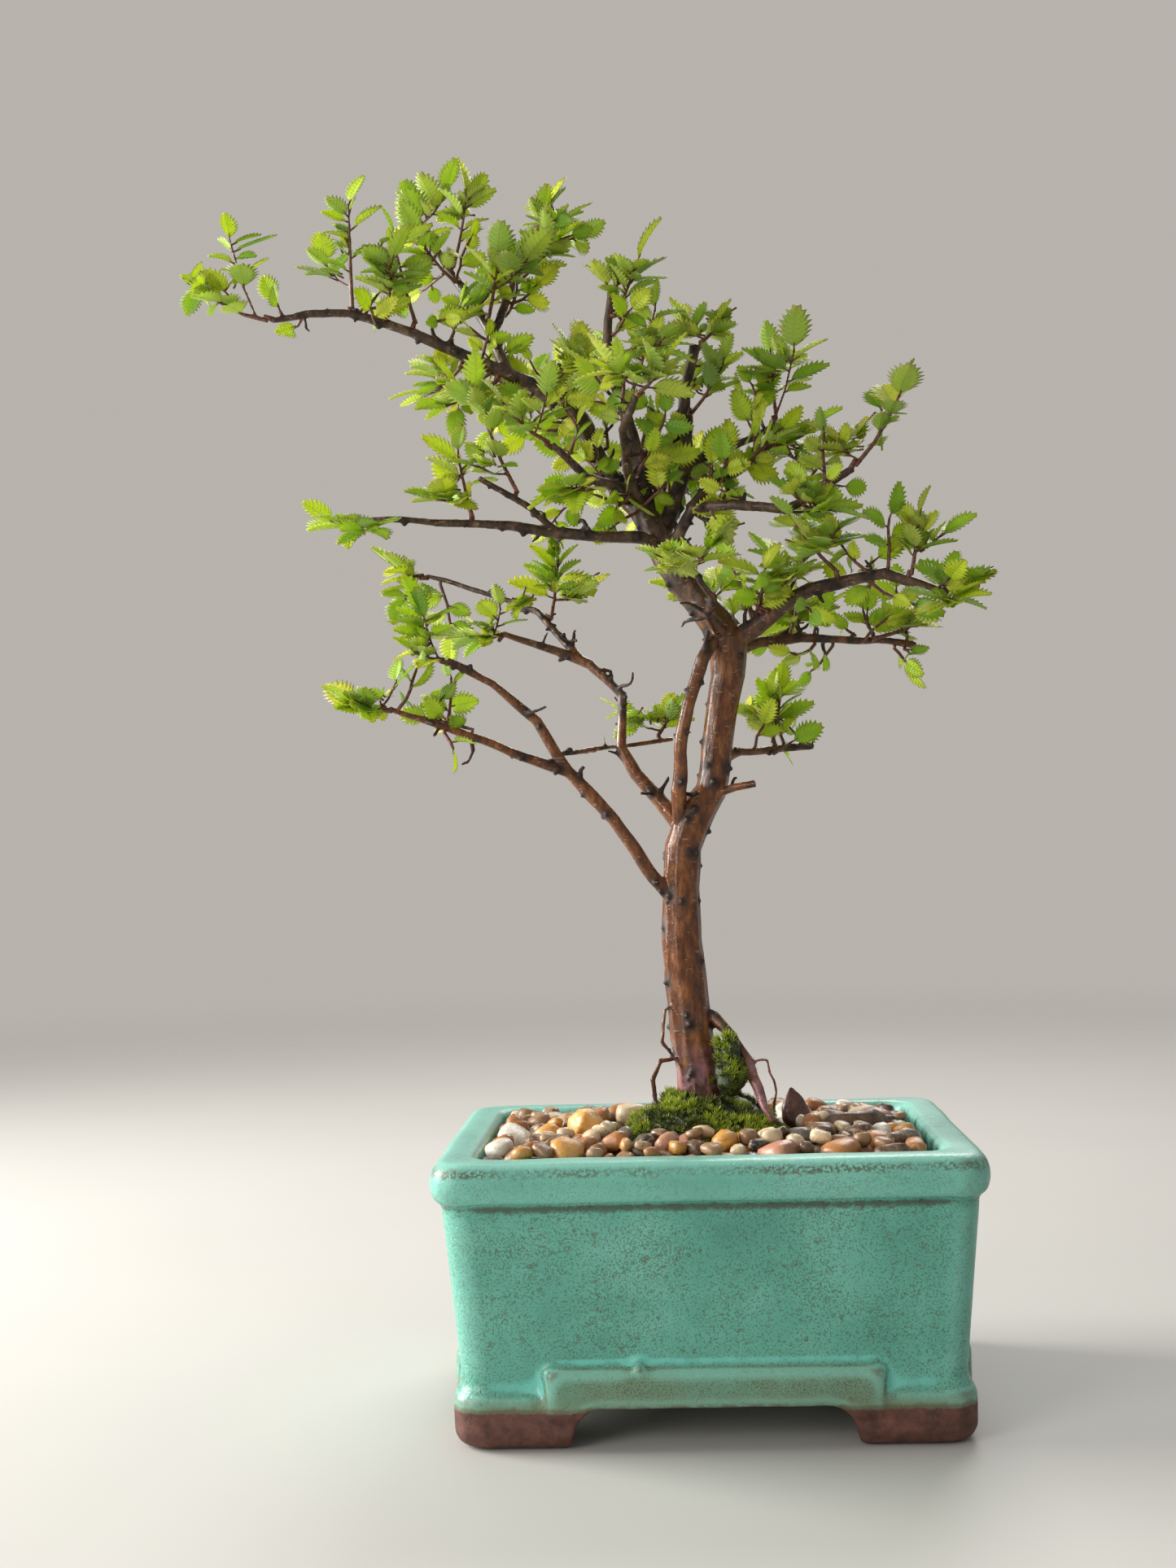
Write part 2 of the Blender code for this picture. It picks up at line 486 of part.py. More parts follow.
def make_drain_meshes(parts, material):
    """A square plastic screen over each drain hole."""
    for side, name in ((-1, "drain_mesh_left"), (1, "drain_mesh_right")):
        bm = bmesh.new()
        bmesh.ops.create_grid(bm, x_segments=MESH_CELLS, y_segments=MESH_CELLS, size=MESH_CELLS * MESH_CELL / 2)
        bmesh.ops.inset_individual(bm, faces=bm.faces, thickness=MESH_BAR / 2)
        openings = [face for face in bm.faces if all(not edge.is_boundary for edge in face.edges)]
        openings = sorted(openings, key=lambda face: face.calc_area())[-MESH_CELLS * MESH_CELLS:]
        bmesh.ops.delete(bm, geom=openings, context="FACES_ONLY")
        bmesh.ops.translate(bm, vec=(side * drain_x(), 0, FLOOR_TOP + GAP), verts=bm.verts)
        screen = at_origin(name, mesh_from(bm, name), parts)
        solid = screen.modifiers.new("thickness", "SOLIDIFY")
        solid.thickness = MESH_THICKNESS * MM
        solid.offset = 1.0
        screen.data.materials.append(material)


def wire_route():
    """The tie wire: a tail on each screen, down each hole, and a sag under the floor."""
    x, top = drain_x(), FLOOR_TOP + 2 * GAP + MESH_THICKNESS + WIRE_RADIUS
    half = [(x + WIRE_TAIL, top), (x + 1.2, top), (x, top - 1.2), (x, FLOOR_UNDER), (x - 1.5, FLOOR_UNDER - 2.5)]
    sag = []
    for step in range(1, 6):
        share = step / 6
        drop = WIRE_SAG * (1 - (2 * share - 1) ** 2) / 1.3
        sag.append(((x - 1.5) * (1 - 2 * share), FLOOR_UNDER - 2.5 - drop))
    points = half + sag + [(-px, pz) for px, pz in reversed(half)]
    return [Vector((px, 0.0, pz)) for px, pz in points]


def make_tie_wire(parts, material):
    wire = tube("tie_wire", wire_route(), WIRE_RADIUS, 6, parts)
    wire.data.materials.append(material)


# ---------------------------------------------------------------- tubes


def tube(name, points, radii, sides, collection):
    """A curve for a round tube through points, with one radius or one for each point."""
    if not isinstance(radii, (list, tuple)):
        radii = [radii] * len(points)
    curve = bpy.data.curves.new(name, "CURVE")
    curve.dimensions = "3D"
    curve.bevel_depth = MM
    curve.bevel_resolution = (sides - 4) // 2
    curve.use_fill_caps = True
    spline = curve.splines.new("POLY")
    spline.points.add(len(points) - 1)
    for target, point, radius in zip(spline.points, points, radii):
        target.co = (*(point * MM), 1.0)
        target.radius = radius
    return at_origin(name, curve, collection)


def sides_for(radius):
    """More sides on thicker wood."""
    return 10 if radius > 4 else 8 if radius > 1.9 else 6


def in_pot(route):
    """A route's points in the pot's frame and its radii, at the tree's size."""
    points = [TREE_BASE + Vector(step[:3]) * TREE_SCALE for step in route]
    return points, [step[3] * TREE_SCALE for step in route]


def make_tree(parts, cutters, material):
    """Trunk, branches and roots, joined into one grown piece."""
    members = bpy.data.collections.new("tree_members")
    cutters.children.link(members)
    for name, route in {**BRANCHES, **ROOTS}.items():
        points, radii = in_pot(route)
        hide_helper(tube(name, points, radii, sides_for(route[0][3]), members))
    points, radii = in_pot(TRUNK)
    tube("trunk_and_branches", points, radii, 10, parts).data.materials.append(material)
    tree = curves_to_meshes()["trunk_and_branches"]
    boolean(tree, "UNION", members)
    return tree


def wood_cutters(cutters):
    """The buried and half-buried wood, grown by the clearance, to cut its seat in the ground."""
    seats = bpy.data.collections.new("wood_seats")
    cutters.children.link(seats)
    for name, route in {"trunk": TRUNK[:6], **ROOTS}.items():
        points, radii = in_pot(route)
        points[-1] += (points[-1] - points[-2]).normalized() * GAP
        if name == "trunk":
            points[0] += (points[0] - points[1]).normalized() * GAP
        sides = 10 if name == "trunk" else sides_for(route[0][3])
        grown = [radius + GAP / math.cos(math.pi / sides) for radius in radii]
        hide_helper(tube("seat_" + name, points, grown, sides, seats))
    curves_to_meshes()
    return seats


# ---------------------------------------------------------------- ground


def soil_height(share):
    """Height of the soil's top at a share of the way from the trunk to the wall."""
    edge = SOIL_EDGE + 2.0 * (1 - share)
    return edge + (TREE_BASE.z - edge) * max(0.0, 1 - share / MOSS_SHARE) ** 0.8


TOP_SHARES = (1.0, 0.72, MOSS_SHARE + 0.02, MOSS_SHARE, 0.30, 0.20, 0.11, 0.05)


def soil_top_ring(share, lift=0.0):
    return cavity_ring(share, soil_height(share) + lift, SOIL_EDGE)


def make_soil(parts, seats, cutters, material):
    """The soil: it fills the cavity and rises in a mound under the trunk."""
    low = FLOOR_TOP + GAP
    wall_foot = FLOOR_TOP + CAVITY_FILLET + GAP
    inset = cavity_inset(FLOOR_TOP) + CAVITY_FILLET + GAP
    rings = [pot_plan(inset, low, CAVITY_CORNER)]
    rings.append(cavity_ring(1.0, wall_foot, wall_foot))
    rings += [soil_top_ring(share) for share in TOP_SHARES]
    soil = at_origin("soil", mesh_from(loft(rings), "soil"), parts)
    boolean(soil, "DIFFERENCE", seats)
    reach = MESH_CELLS * MESH_CELL + 2 * GAP
    height = 2 * (MESH_THICKNESS + 2 * WIRE_RADIUS + 4 * GAP)
    for side, name in ((-1, "screen_seat_left"), (1, "screen_seat_right")):
        bm = bmesh.new()
        bmesh.ops.create_cube(bm, size=1.0)
        bmesh.ops.scale(bm, vec=(reach, reach, height), verts=bm.verts)
        bmesh.ops.translate(bm, vec=(side * drain_x(), 0, low), verts=bm.verts)
        boolean(soil, "DIFFERENCE", hide_helper(at_origin(name, mesh_from(bm, name), cutters)))
    soil.data.materials.append(material)


def stone_bm(size, turn, place, seed, grow=0.0):
    """A worn pebble: a ball squashed to its half sizes, with a little unevenness."""
    rng = random.Random(seed)
    bm = bmesh.new()
    bmesh.ops.create_icosphere(bm, subdivisions=2, radius=1.0)
    for vert in bm.verts:
        swell = 1.0 + rng.uniform(-0.06, 0.06)
        vert.co = Vector([c * (half * swell + grow) for c, half in zip(vert.co, size)])
    bmesh.ops.rotate(bm, cent=(0, 0, 0), matrix=Matrix.Rotation(math.radians(turn), 3, "Z"), verts=bm.verts)
    bmesh.ops.translate(bm, vec=place, verts=bm.verts)
    return bm


def stone_place(along, across, size):
    inset = cavity_inset(GRAVEL_EDGE)
    x = along * (POT_LENGTH / 2 - inset)
    y = across * (POT_DEPTH / 2 - inset)
    return Vector((x, y, gravel_height(max(abs(along), abs(across))) + 0.55 * size[2]))


def make_stones(parts, cutters, materials):
    """The larger stones, and grown copies of them that cut their seats in the gravel."""
    seats = bpy.data.collections.new("stone_seats")
    cutters.children.link(seats)
    for name, (along, across, size, turn) in STONES.items():
        place = stone_place(along, across, size)
        stone = at_origin(name, mesh_from(stone_bm(size, turn, place, name), name), parts)
        stone.data.materials.append(materials[name])
        seat = mesh_from(stone_bm(size, turn, place, name, grow=1.3 * GAP), "seat_" + name)
        hide_helper(at_origin("seat_" + name, seat, seats))
    return seats


def gravel_height(share):
    """Height of the gravel's top, which climbs from the wall to the moss."""
    return GRAVEL_EDGE + GRAVEL_RISE * min(1.0, (1 - share) / (1 - MOSS_SHARE))


def make_gravel(parts, wood_seats, stone_seats, material):
    """The gravel bed round the moss: one plain solid with an uneven top."""
    rng = random.Random("gravel")
    inner = MOSS_SHARE + 0.02
    under = [soil_top_ring(share, GAP) for share in (1.0, 0.72, inner)]
    over = []
    for share in (inner, 0.55, 0.72, 0.88, 1.0):
        ring = cavity_ring(share, gravel_height(share), GRAVEL_EDGE)
        if share < 1.0:
            for point in ring:
                point.z += rng.uniform(-GRAVEL_LUMPS, GRAVEL_LUMPS)
        over.append(ring)
    gravel = at_origin("gravel_bed", mesh_from(loft(under + over, closed=True), "gravel_bed"), parts)
    boolean(gravel, "DIFFERENCE", wood_seats)
    boolean(gravel, "DIFFERENCE", stone_seats)
    gravel.data.materials.append(material)


def moss_form(name, foot, grow):
    """The moss cushion's form, from a height over the soil to its top grown by a clearance."""
    shares = (0.05, 0.11, 0.20, 0.30, MOSS_SHARE)
    under = [soil_top_ring(share, foot) for share in shares]
    over = []
    for share in reversed(shares):
        lift = MOSS_THICKNESS * (0.75 if share == MOSS_SHARE else 1.0) + grow
        over.append(soil_top_ring(min(share, MOSS_SHARE - 0.01), lift))
    return mesh_from(loft(under + over), name)


def make_moss(parts, seats, stone_seats, cutters, material):
    """The moss cushion on the soil mound, and the tuft that climbs between trunk and root."""
    mound = at_origin("moss_mound", moss_form("moss_mound", GAP, 0.0), parts)
    boolean(mound, "DIFFERENCE", seats)
    boolean(mound, "DIFFERENCE", stone_seats)
    mound.data.materials.append(material)
    bm = bmesh.new()
    bmesh.ops.create_icosphere(bm, subdivisions=2, radius=1.0)
    bmesh.ops.scale(bm, vec=Vector(TUFT_SIZE) * TREE_SCALE, verts=bm.verts)
    middle = TREE_BASE + Vector(TUFT_PLACE) * TREE_SCALE
    bmesh.ops.translate(bm, vec=middle, verts=bm.verts)
    tuft = at_origin("moss_on_root", mesh_from(bm, "moss_on_root"), parts)
    boolean(tuft, "DIFFERENCE", seats)
    cover = at_origin("moss_cover", moss_form("moss_cover", -MOSS_THICKNESS, GAP), cutters)
    boolean(tuft, "DIFFERENCE", hide_helper(cover))
    tuft.data.materials.append(material)


# ---------------------------------------------------------------- shoots


def along_route(points, share):
    """The point at a share of a route's length."""
    lengths = [(b - a).length for a, b in zip(points, points[1:])]
    left = share * sum(lengths)
    for start, end, length in zip(points, points[1:], lengths):
        if left <= length:
            return start.lerp(end, left / length)
        left -= length
    return points[-1].copy()


def bow(start, reach, steps):
    """A twig's route: it leaves flatter and turns up towards the light."""
    lift = Vector((0, 0, -0.10 * reach.length))
    points = []
    for step in range(steps + 1):
        share = step / steps
        points.append(start + reach * share + lift * math.sin(math.pi * share))
    return points


class Space:
    """What already stands in the crown, so that no twig or leaf is put through it."""

    def __init__(self, solid):
        self.solids = [solid]
        self.places = [None]

    @staticmethod
    def tree_of(points, faces):
        return BVHTree.FromPolygons([point.copy() for point in points], faces)

    def is_free(self, tree, middle, reach, first=0):
        for solid, place in zip(self.solids[first:], self.places[first:]):
            if place is not None and (place[0] - middle).length > place[1] + reach:
                continue
            if solid.overlap(tree):
                return False
        return True

    def add(self, tree, middle, reach):
        self.solids.append(tree)
        self.places.append((middle, reach))


def leaf_faces():
    """The four faces of a leaf: a pyramid on three points, which are its base, its left and its right."""
    bm = bmesh.new()
    bmesh.ops.create_cone(bm, cap_ends=True, segments=3, radius1=1.0, radius2=0.0, depth=1.0)
    bmesh.ops.recalc_face_normals(bm, faces=bm.faces)
    bm.verts.ensure_lookup_table()
    order = sorted(range(4), key=lambda index: (bm.verts[index].co.z, index))
    rank = {index: place for place, index in enumerate(order)}
    faces = [[rank[vert.index] for vert in face.verts] for face in bm.faces]
    bm.free()
    return faces


def leaf_points(base, turn, length, width, thickness, skip=0.0):
    """A thin blade, keeled along its top: its base, two widest points and tip, skipping its first stretch."""
    widest = max(LEAF_WIDEST * length, skip + 0.5)
    local = [
        Vector((0.0, 0.0, skip)), Vector((-width / 2, -thickness, widest)),
        Vector((width / 2, -thickness, widest)), Vector((0.0, 0.0, length)),
    ]
    return [base + turn @ point for point in local]


def leaf_room(place, turn, size, width, faces, skip):
    """A collision tree of the room that a leaf needs above and below it, with its middle and reach."""
    points = []
    for keel in (LEAF_THICKNESS + 2 * GAP, LEAF_THICKNESS - GAP):
        points += leaf_points(place, turn, size + 2 * GAP, width + 3 * GAP, keel, skip)
    both = faces + [[index + len(points) // 2 for index in face] for face in faces]
    return Space.tree_of(points, both), *route_box(points)


def leaf_turn(direction, up, roll):
    """A rotation with Z along the leaf, Y along its upper side's normal, rolled about its length."""
    forward = direction.normalized()
    side = up.cross(forward)
    if side.length < 0.1:
        side = Vector((0, 1, 0)).cross(forward)
    side.normalize()
    normal = forward.cross(side)
    turn = Matrix((side, normal, forward)).transposed()
    return turn @ Matrix.Rotation(roll, 3, "Z")


def tube_tree(points, radii, grow):
    """A collision tree of a six-sided tube grown by a clearance."""
    rings, faces = [], []
    across = (points[1] - points[0]).orthogonal()
    for i, point in enumerate(points):
        ahead = (points[min(i + 1, len(points) - 1)] - points[max(i - 1, 0)]).normalized()
        across = (across - ahead * across.dot(ahead)).normalized()
        other = ahead.cross(across)
        for k in range(6):
            angle = math.pi / 3 * k
            offset = across * math.cos(angle) + other * math.sin(angle)
            rings.append(point + offset * (radii[i] * 1.15 + grow))
    for i in range(len(points) - 1):
        for k in range(6):
            a, b = i * 6 + k, i * 6 + (k + 1) % 6
            faces.append((a, b, b + 6, a + 6))
    return BVHTree.FromPolygons(rings, faces)


def seated(points, radius, wood):
    """The route from the first place where its round end stands clear of the wood."""
    total = sum((b - a).length for a, b in zip(points, points[1:]))
    step = 0.05
    walked = 0.0
    while walked < total:
        share = walked / total
        place = along_route(points, share)
        ahead = along_route(points, min(share + 0.02, 1.0)) - place
        across = ahead.orthogonal().normalized()
        other = ahead.normalized().cross(across)
        rim = [place]
        for k in range(8):
            angle = math.pi / 4 * k
            rim.append(place + (across * math.cos(angle) + other * math.sin(angle)) * radius)
        if all(stands_clear(point, wood) for point in rim):
            break
        walked += step
    share = walked / total
    count = len(points)
    return [along_route(points, share + (1 - share) * i / (count - 1)) for i in range(count)]


def stands_clear(point, wood):
    near, normal, _, distance = wood.find_nearest(point)
    return distance >= GAP and (point - near).dot(normal) > 0


def route_box(points):
    middle = sum(points, Vector()) / len(points)
    return middle, max((point - middle).length for point in points) + 1.5


def taper(count, start, end):
    return [start + (end - start) * i / (count - 1) for i in range(count)]


def free_twig(start, reach, radii, wood, space, rng, seat):
    """A twig's route that misses everything else, or None."""
    for attempt in range(ROUTE_TRIES):
        wander = Vector([rng.uniform(-1, 1) for _ in range(3)]) * ROUTE_WANDER * attempt * reach.length
        points = bow(start, reach + wander, len(radii) - 1)
        if seat:
            points = seated(points, radii[0], wood)
        if wood.overlap(tube_tree(points, radii, WOOD_CLEARANCE)):
            continue
        clear_of_wood = [along_route(points, 0.12 if seat else 0.25)] + points[1:]
        if not space.is_free(tube_tree(clear_of_wood, radii, GAP), *route_box(clear_of_wood)):
            continue
        if space.is_free(tube_tree(points, radii, GAP), *route_box(points), first=1):
            return points
    return None


def make_leaf(faces, points, share, index, count, space, own, rng):
    """The points of one leaf on a twig that touches nothing else, and its room, or None."""
    place = along_route(points, share)
    ahead = (place - along_route(points, max(share - 0.1, 0.0))).normalized()
    up = Vector((0, 0, 1))
    side = ahead.cross(up)
    if side.length < 0.35:
        side = Vector((1, 0.25, 0))
    side.normalize()
    hand = 1 if index % 2 else -1
    for attempt in range(LEAF_TRIES):
        spread = 0.35 + 0.05 * attempt
        forward = 1.2 if index == count - 1 else 0.45
        sideways = 0.25 if index == count - 1 else 0.9
        direction = ahead * forward + side * hand * sideways
        direction += Vector([rng.uniform(-spread, spread) for _ in range(3)])
        direction.z += 0.12
        size = LEAF_LENGTH * TREE_SCALE * rng.uniform(0.72, 1.3) * (1 - 0.025 * attempt)
        width = size * LEAF_SHARE * rng.uniform(0.9, 1.12)
        turn = leaf_turn(direction, up, rng.uniform(-0.6, 0.6))
        room = leaf_room(place, turn, size, width, faces, 0.0)
        blade_room = leaf_room(place, turn, size, width, faces, LEAF_STALK * TREE_SCALE)
        if space.is_free(*room) and own.is_free(*blade_room):
            own.add(*blade_room)
            return leaf_points(place, turn, size, width, LEAF_THICKNESS), room
    return None


def make_shoot(name, spec, wood, space, parts, cutters, material):
    """One leafy shoot: its twigs and its leaves, joined into one piece."""
    branch, share, reach, leaves, side_twigs = spec
    rng = random.Random(name)
    faces = leaf_faces()
    members = bpy.data.collections.new(name + "_members")
    cutters.children.link(members)
    start = along_route(in_pot(BRANCHES[branch])[0], share)
    radii = [radius * TREE_SCALE for radius in taper(4, TWIG_RADIUS, TWIG_TIP_RADIUS)]
    main = free_twig(start, Vector(reach) * TREE_SCALE, radii, wood, space, rng, seat=True)
    if main is None:
        raise RuntimeError(f"no free route for shoot {name}")
    own = Space(tube_tree(main, radii, GAP))
    rooms = [(own.solids[0], *route_box(main))]
    twigs = [(main, radii, leaves)]
    thin = [radius * TREE_SCALE for radius in taper(3, 0.6 * TWIG_RADIUS, TWIG_TIP_RADIUS)]
    for side_share, side_reach, side_leaves in side_twigs:
        root = along_route(main, side_share)
        points = free_twig(root, Vector(side_reach) * TREE_SCALE, thin, wood, space, rng, seat=False)
        if points is not None:
            twigs.append((points, thin, side_leaves))
            rooms.append((tube_tree(points, thin, GAP), *route_box(points)))
            own.add(*rooms[-1])
            hide_helper(tube(f"{name}_twig_{len(twigs)}", points, thin, TWIG_SIDES, members))
    blades = []
    for points, _, count in twigs:
        for index in range(count):
            along = 0.22 + 0.78 * (index + 1) / count if count > 1 else 1.0
            made = make_leaf(faces, points, min(along, 0.985), index, count, space, own, rng)
            if made is not None:
                blades.append(made[0])
                rooms.append(made[1])
    for index, blade in enumerate(blades):
        mesh = bpy.data.meshes.new(f"{name}_leaf_{index}")
        mesh.from_pydata([point * MM for point in blade], [], faces)
        hide_helper(at_origin(mesh.name, mesh, members))
    tube("shoot_" + name, main, radii, TWIG_SIDES, parts).data.materials.append(material)
    for room in rooms:
        space.add(*room)
    return members


def wood_tree(tree):
    """A collision tree of the joined wood, in millimetres."""
    bpy.context.view_layer.update()
    evaluated = tree.evaluated_get(bpy.context.evaluated_depsgraph_get())
    mesh = evaluated.to_mesh()
    points = [vert.co / MM for vert in mesh.vertices]
    faces = [list(face.vertices) for face in mesh.polygons]
    evaluated.to_mesh_clear()
    return BVHTree.FromPolygons(points, faces)


def stand_on_origin(parts, cutters):
    """Moves everything so that the origin is at the bottom centre of the parts' bounding box."""
    bpy.context.view_layer.update()
    graph = bpy.context.evaluated_depsgraph_get()
    corners = []
    for obj in parts.objects:
        corners += [obj.matrix_world @ Vector(corner) for corner in obj.evaluated_get(graph).bound_box]
    low = Vector([min(corner[axis] for corner in corners) for axis in range(3)])
    high = Vector([max(corner[axis] for corner in corners) for axis in range(3)])
    shift = Vector((-(low.x + high.x) / 2, -(low.y + high.y) / 2, -low.z))
    for obj in list(parts.objects) + list(cutters.all_objects):
        obj.location += shift


def main():
    parts, cutters = clear_scene()
    bark = new_material("bark", (0.20, 0.09, 0.05), 0.45)
    leaf = new_material("leaf", (0.30, 0.48, 0.06), 0.45)
    moss = new_material("moss", (0.10, 0.20, 0.03), 0.9)
    stone_colours = {
        "stone_red_brown": (0.19, 0.09, 0.06),
        "stone_slab": (0.15, 0.10, 0.06),
        "stone_orange": (0.62, 0.34, 0.08),
    }
    stones = {name: new_material(name, stone_colours[name], 0.35) for name in STONES}
    make_pot(parts, cutters, new_material("glaze", (0.13, 0.42, 0.36), 0.25))
    make_drain_meshes(parts, new_material("black_plastic", (0.03, 0.03, 0.03), 0.5))
    make_tie_wire(parts, new_material("aluminium_wire", (0.6, 0.6, 0.6), 0.35, 1.0))
    seats = wood_cutters(cutters)
    make_soil(parts, seats, cutters, new_material("soil", (0.05, 0.035, 0.025), 0.95))
    stone_seats = make_stones(parts, cutters, stones)
    make_gravel(parts, seats, stone_seats, new_material("gravel", (0.45, 0.30, 0.16), 0.5))
    make_moss(parts, seats, stone_seats, cutters, moss)
    tree = make_tree(parts, cutters, bark)
    wood = wood_tree(tree)
    space = Space(wood)
    members = {
        "shoot_" + name: make_shoot(name, spec, wood, space, parts, cutters, leaf)
        for name, spec in SHOOTS.items()
    }
    curves_to_meshes()
    for name, collection in members.items():
        boolean(parts.objects[name], "UNION", collection)
    stand_on_origin(parts, cutters)


main()
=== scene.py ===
"""The finish of a small elm bonsai in a glazed pot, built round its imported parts.

The sections follow the object as it is put together: pot, drainage, soil, stones, pebbles, moss,
trunk and leafy shoots. Everything is in metres, with +Z up and the front at -Y.
"""

import math
import random

import bmesh
import bpy
import numpy as np
from mathutils import Matrix, Vector, noise
from mathutils.bvhtree import BVHTree
from mathutils.kdtree import KDTree


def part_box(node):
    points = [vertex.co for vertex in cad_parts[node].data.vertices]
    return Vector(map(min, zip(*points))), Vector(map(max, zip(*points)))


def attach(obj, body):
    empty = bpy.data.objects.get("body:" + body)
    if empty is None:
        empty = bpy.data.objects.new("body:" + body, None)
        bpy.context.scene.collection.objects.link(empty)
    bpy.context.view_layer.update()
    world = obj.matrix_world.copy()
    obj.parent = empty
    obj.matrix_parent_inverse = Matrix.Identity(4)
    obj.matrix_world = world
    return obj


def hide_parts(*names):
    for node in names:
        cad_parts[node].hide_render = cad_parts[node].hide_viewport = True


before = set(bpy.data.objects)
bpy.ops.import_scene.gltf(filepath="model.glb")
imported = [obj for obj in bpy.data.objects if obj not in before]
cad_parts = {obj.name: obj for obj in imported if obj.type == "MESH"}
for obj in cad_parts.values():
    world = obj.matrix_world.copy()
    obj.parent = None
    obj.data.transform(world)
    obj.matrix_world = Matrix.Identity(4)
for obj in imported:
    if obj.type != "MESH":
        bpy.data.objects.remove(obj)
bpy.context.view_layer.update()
bpy.ops.object.select_all(action="DESELECT")

# Camera, floor and light
# The camera stands a little left of the pot and above its rim, looking almost level. A large soft
# window is on the left and behind, so that it shines through the leaves, and a weak fill is in front.

MM = 0.001
pot_low, pot_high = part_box("pot")
pot_middle = (pot_low + pot_high) / 2
foot = Vector((pot_middle.x, pot_middle.y, 0.0))

scene = bpy.context.scene
scene.view_settings.view_transform = "Standard"

camera = bpy.data.objects.new("camera", bpy.data.cameras.new("camera"))
scene.collection.objects.link(camera)
camera.data.sensor_width = 36.0
camera.data.lens = 43.7
camera.data.clip_start = 0.01
camera_place = Matrix.Translation(foot + Vector((-0.007, -0.5703, 0.1639)))
camera_turn = Matrix.Rotation(math.radians(2.5), 4, "Z")
camera_tilt = Matrix.Rotation(math.radians(91.72), 4, "X")
camera_roll = Matrix.Rotation(math.radians(-1.56), 4, "Z")
camera.matrix_world = camera_place @ camera_turn @ camera_tilt @ camera_roll
scene.camera = camera

bpy.ops.mesh.primitive_plane_add(size=60.0, location=(0.0, 0.0, 0.0))
floor = bpy.context.object
floor.name = "floor"
paint = bpy.data.materials.new("pale_floor")
paint.use_nodes = True
nodes, links = paint.node_tree.nodes, paint.node_tree.links
place = nodes.new("ShaderNodeTexCoord")
grain = nodes.new("ShaderNodeTexNoise")
grain.inputs["Scale"].default_value = 6.0
grain.inputs["Detail"].default_value = 4.0
tone = nodes.new("ShaderNodeValToRGB")
tone.color_ramp.elements[0].color = (0.50, 0.485, 0.455, 1.0)
tone.color_ramp.elements[1].color = (0.55, 0.535, 0.505, 1.0)
links.new(place.outputs["Object"], grain.inputs["Vector"])
links.new(grain.outputs["Fac"], tone.inputs["Fac"])
links.new(tone.outputs["Color"], nodes["Principled BSDF"].inputs["Base Color"])
nodes["Principled BSDF"].inputs["Roughness"].default_value = 0.55
reach = nodes.new("ShaderNodeVectorMath")
reach.operation = "LENGTH"
links.new(place.outputs["Object"], reach.inputs[0])
fade = nodes.new("ShaderNodeMapRange")
fade.interpolation_type = "SMOOTHSTEP"
for socket, value in zip(("From Min", "From Max", "To Min", "To Max"), (0.25, 1.6, 1.0, 0.0)):
    fade.inputs[socket].default_value = value
links.new(reach.outputs["Value"], fade.inputs["Value"])
links.new(fade.outputs["Result"], nodes["Principled BSDF"].inputs["Alpha"])
floor.data.materials.append(paint)

world = bpy.data.worlds.new("studio")
world.use_nodes = True
backdrop = world.node_tree.nodes["Background"]
backdrop.inputs["Color"].default_value = (0.475, 0.450, 0.415, 1.0)
daylight = world.node_tree.nodes.new("ShaderNodeBackground")
daylight.inputs["Color"].default_value = (0.40, 0.395, 0.385, 1.0)
sight = world.node_tree.nodes.new("ShaderNodeLightPath")
either = world.node_tree.nodes.new("ShaderNodeMixShader")
links = world.node_tree.links
links.new(sight.outputs["Is Camera Ray"], either.inputs["Fac"])
links.new(daylight.outputs["Background"], either.inputs[1])
links.new(backdrop.outputs["Background"], either.inputs[2])
links.new(either.outputs["Shader"], world.node_tree.nodes["World Output"].inputs["Surface"])
scene.world = world

LIGHTS = {
    "window": ((-0.90, 0.16, 0.46), 0.55, 19.0, (1.0, 0.985, 0.955)),
    "front_left": ((-0.75, -0.80, 0.42), 0.50, 6.0, (1.0, 0.98, 0.95)),
    "back": ((0.25, 0.85, 0.80), 0.50, 5.0, (1.0, 0.98, 0.95)),
}
for name, (spot, size, power, colour) in LIGHTS.items():
    lamp = bpy.data.lights.new(name, "AREA")
    lamp.size = size
    lamp.energy = power
    lamp.color = colour
    holder = bpy.data.objects.new(name, lamp)
    scene.collection.objects.link(holder)
    holder.location = spot
    aim = Vector((0.0, 0.0, 0.17)) - holder.location
    holder.rotation_euler = aim.to_track_quat("-Z", "Y").to_euler()


# Pot
# One piece of stoneware: body, rolled rim, four bracket feet and a raised tablet over each arch. It is
# thrown as a rounded block, opened with cutters, and softened all over as glaze softens a clay edge.

RIM_LENGTH = pot_high.x - pot_low.x
RIM_DEPTH = pot_high.y - pot_low.y
RIM_TOP = pot_high.z
WALL_STEPS = [  # inset from the rim's outermost face and height, in millimetres
    (9.0, 0.0), (6.2, 1.2), (5.0, 4.0), (4.8, 12.6), (5.1, 14.2), (6.7, 16.0), (6.9, 18.0),
    (4.3, 50.0), (2.9, 64.2), (3.1, 65.0), (3.9, 65.5), (3.7, 66.1), (2.2, 66.5), (1.2, 67.2),
    (0.5, 68.6), (0.15, 70.4), (0.1, 73.0), (0.5, 75.2), (1.5, 76.9), (3.0, 77.7), (6.0, 78.0), (10.6, 77.8),
    (11.8, 76.6), (12.2, 74.5), (14.3, 21.0), (15.2, 19.0), (18.0, 18.1),
]


def unit(value):
    """A number kept between 0 and 1."""
    return min(max(value, 0.0), 1.0)


def pick(thing):
    """Makes one object the only one selected, and the active one."""
    bpy.ops.object.select_all(action="DESELECT")
    thing.select_set(True)
    bpy.context.view_layer.objects.active = thing


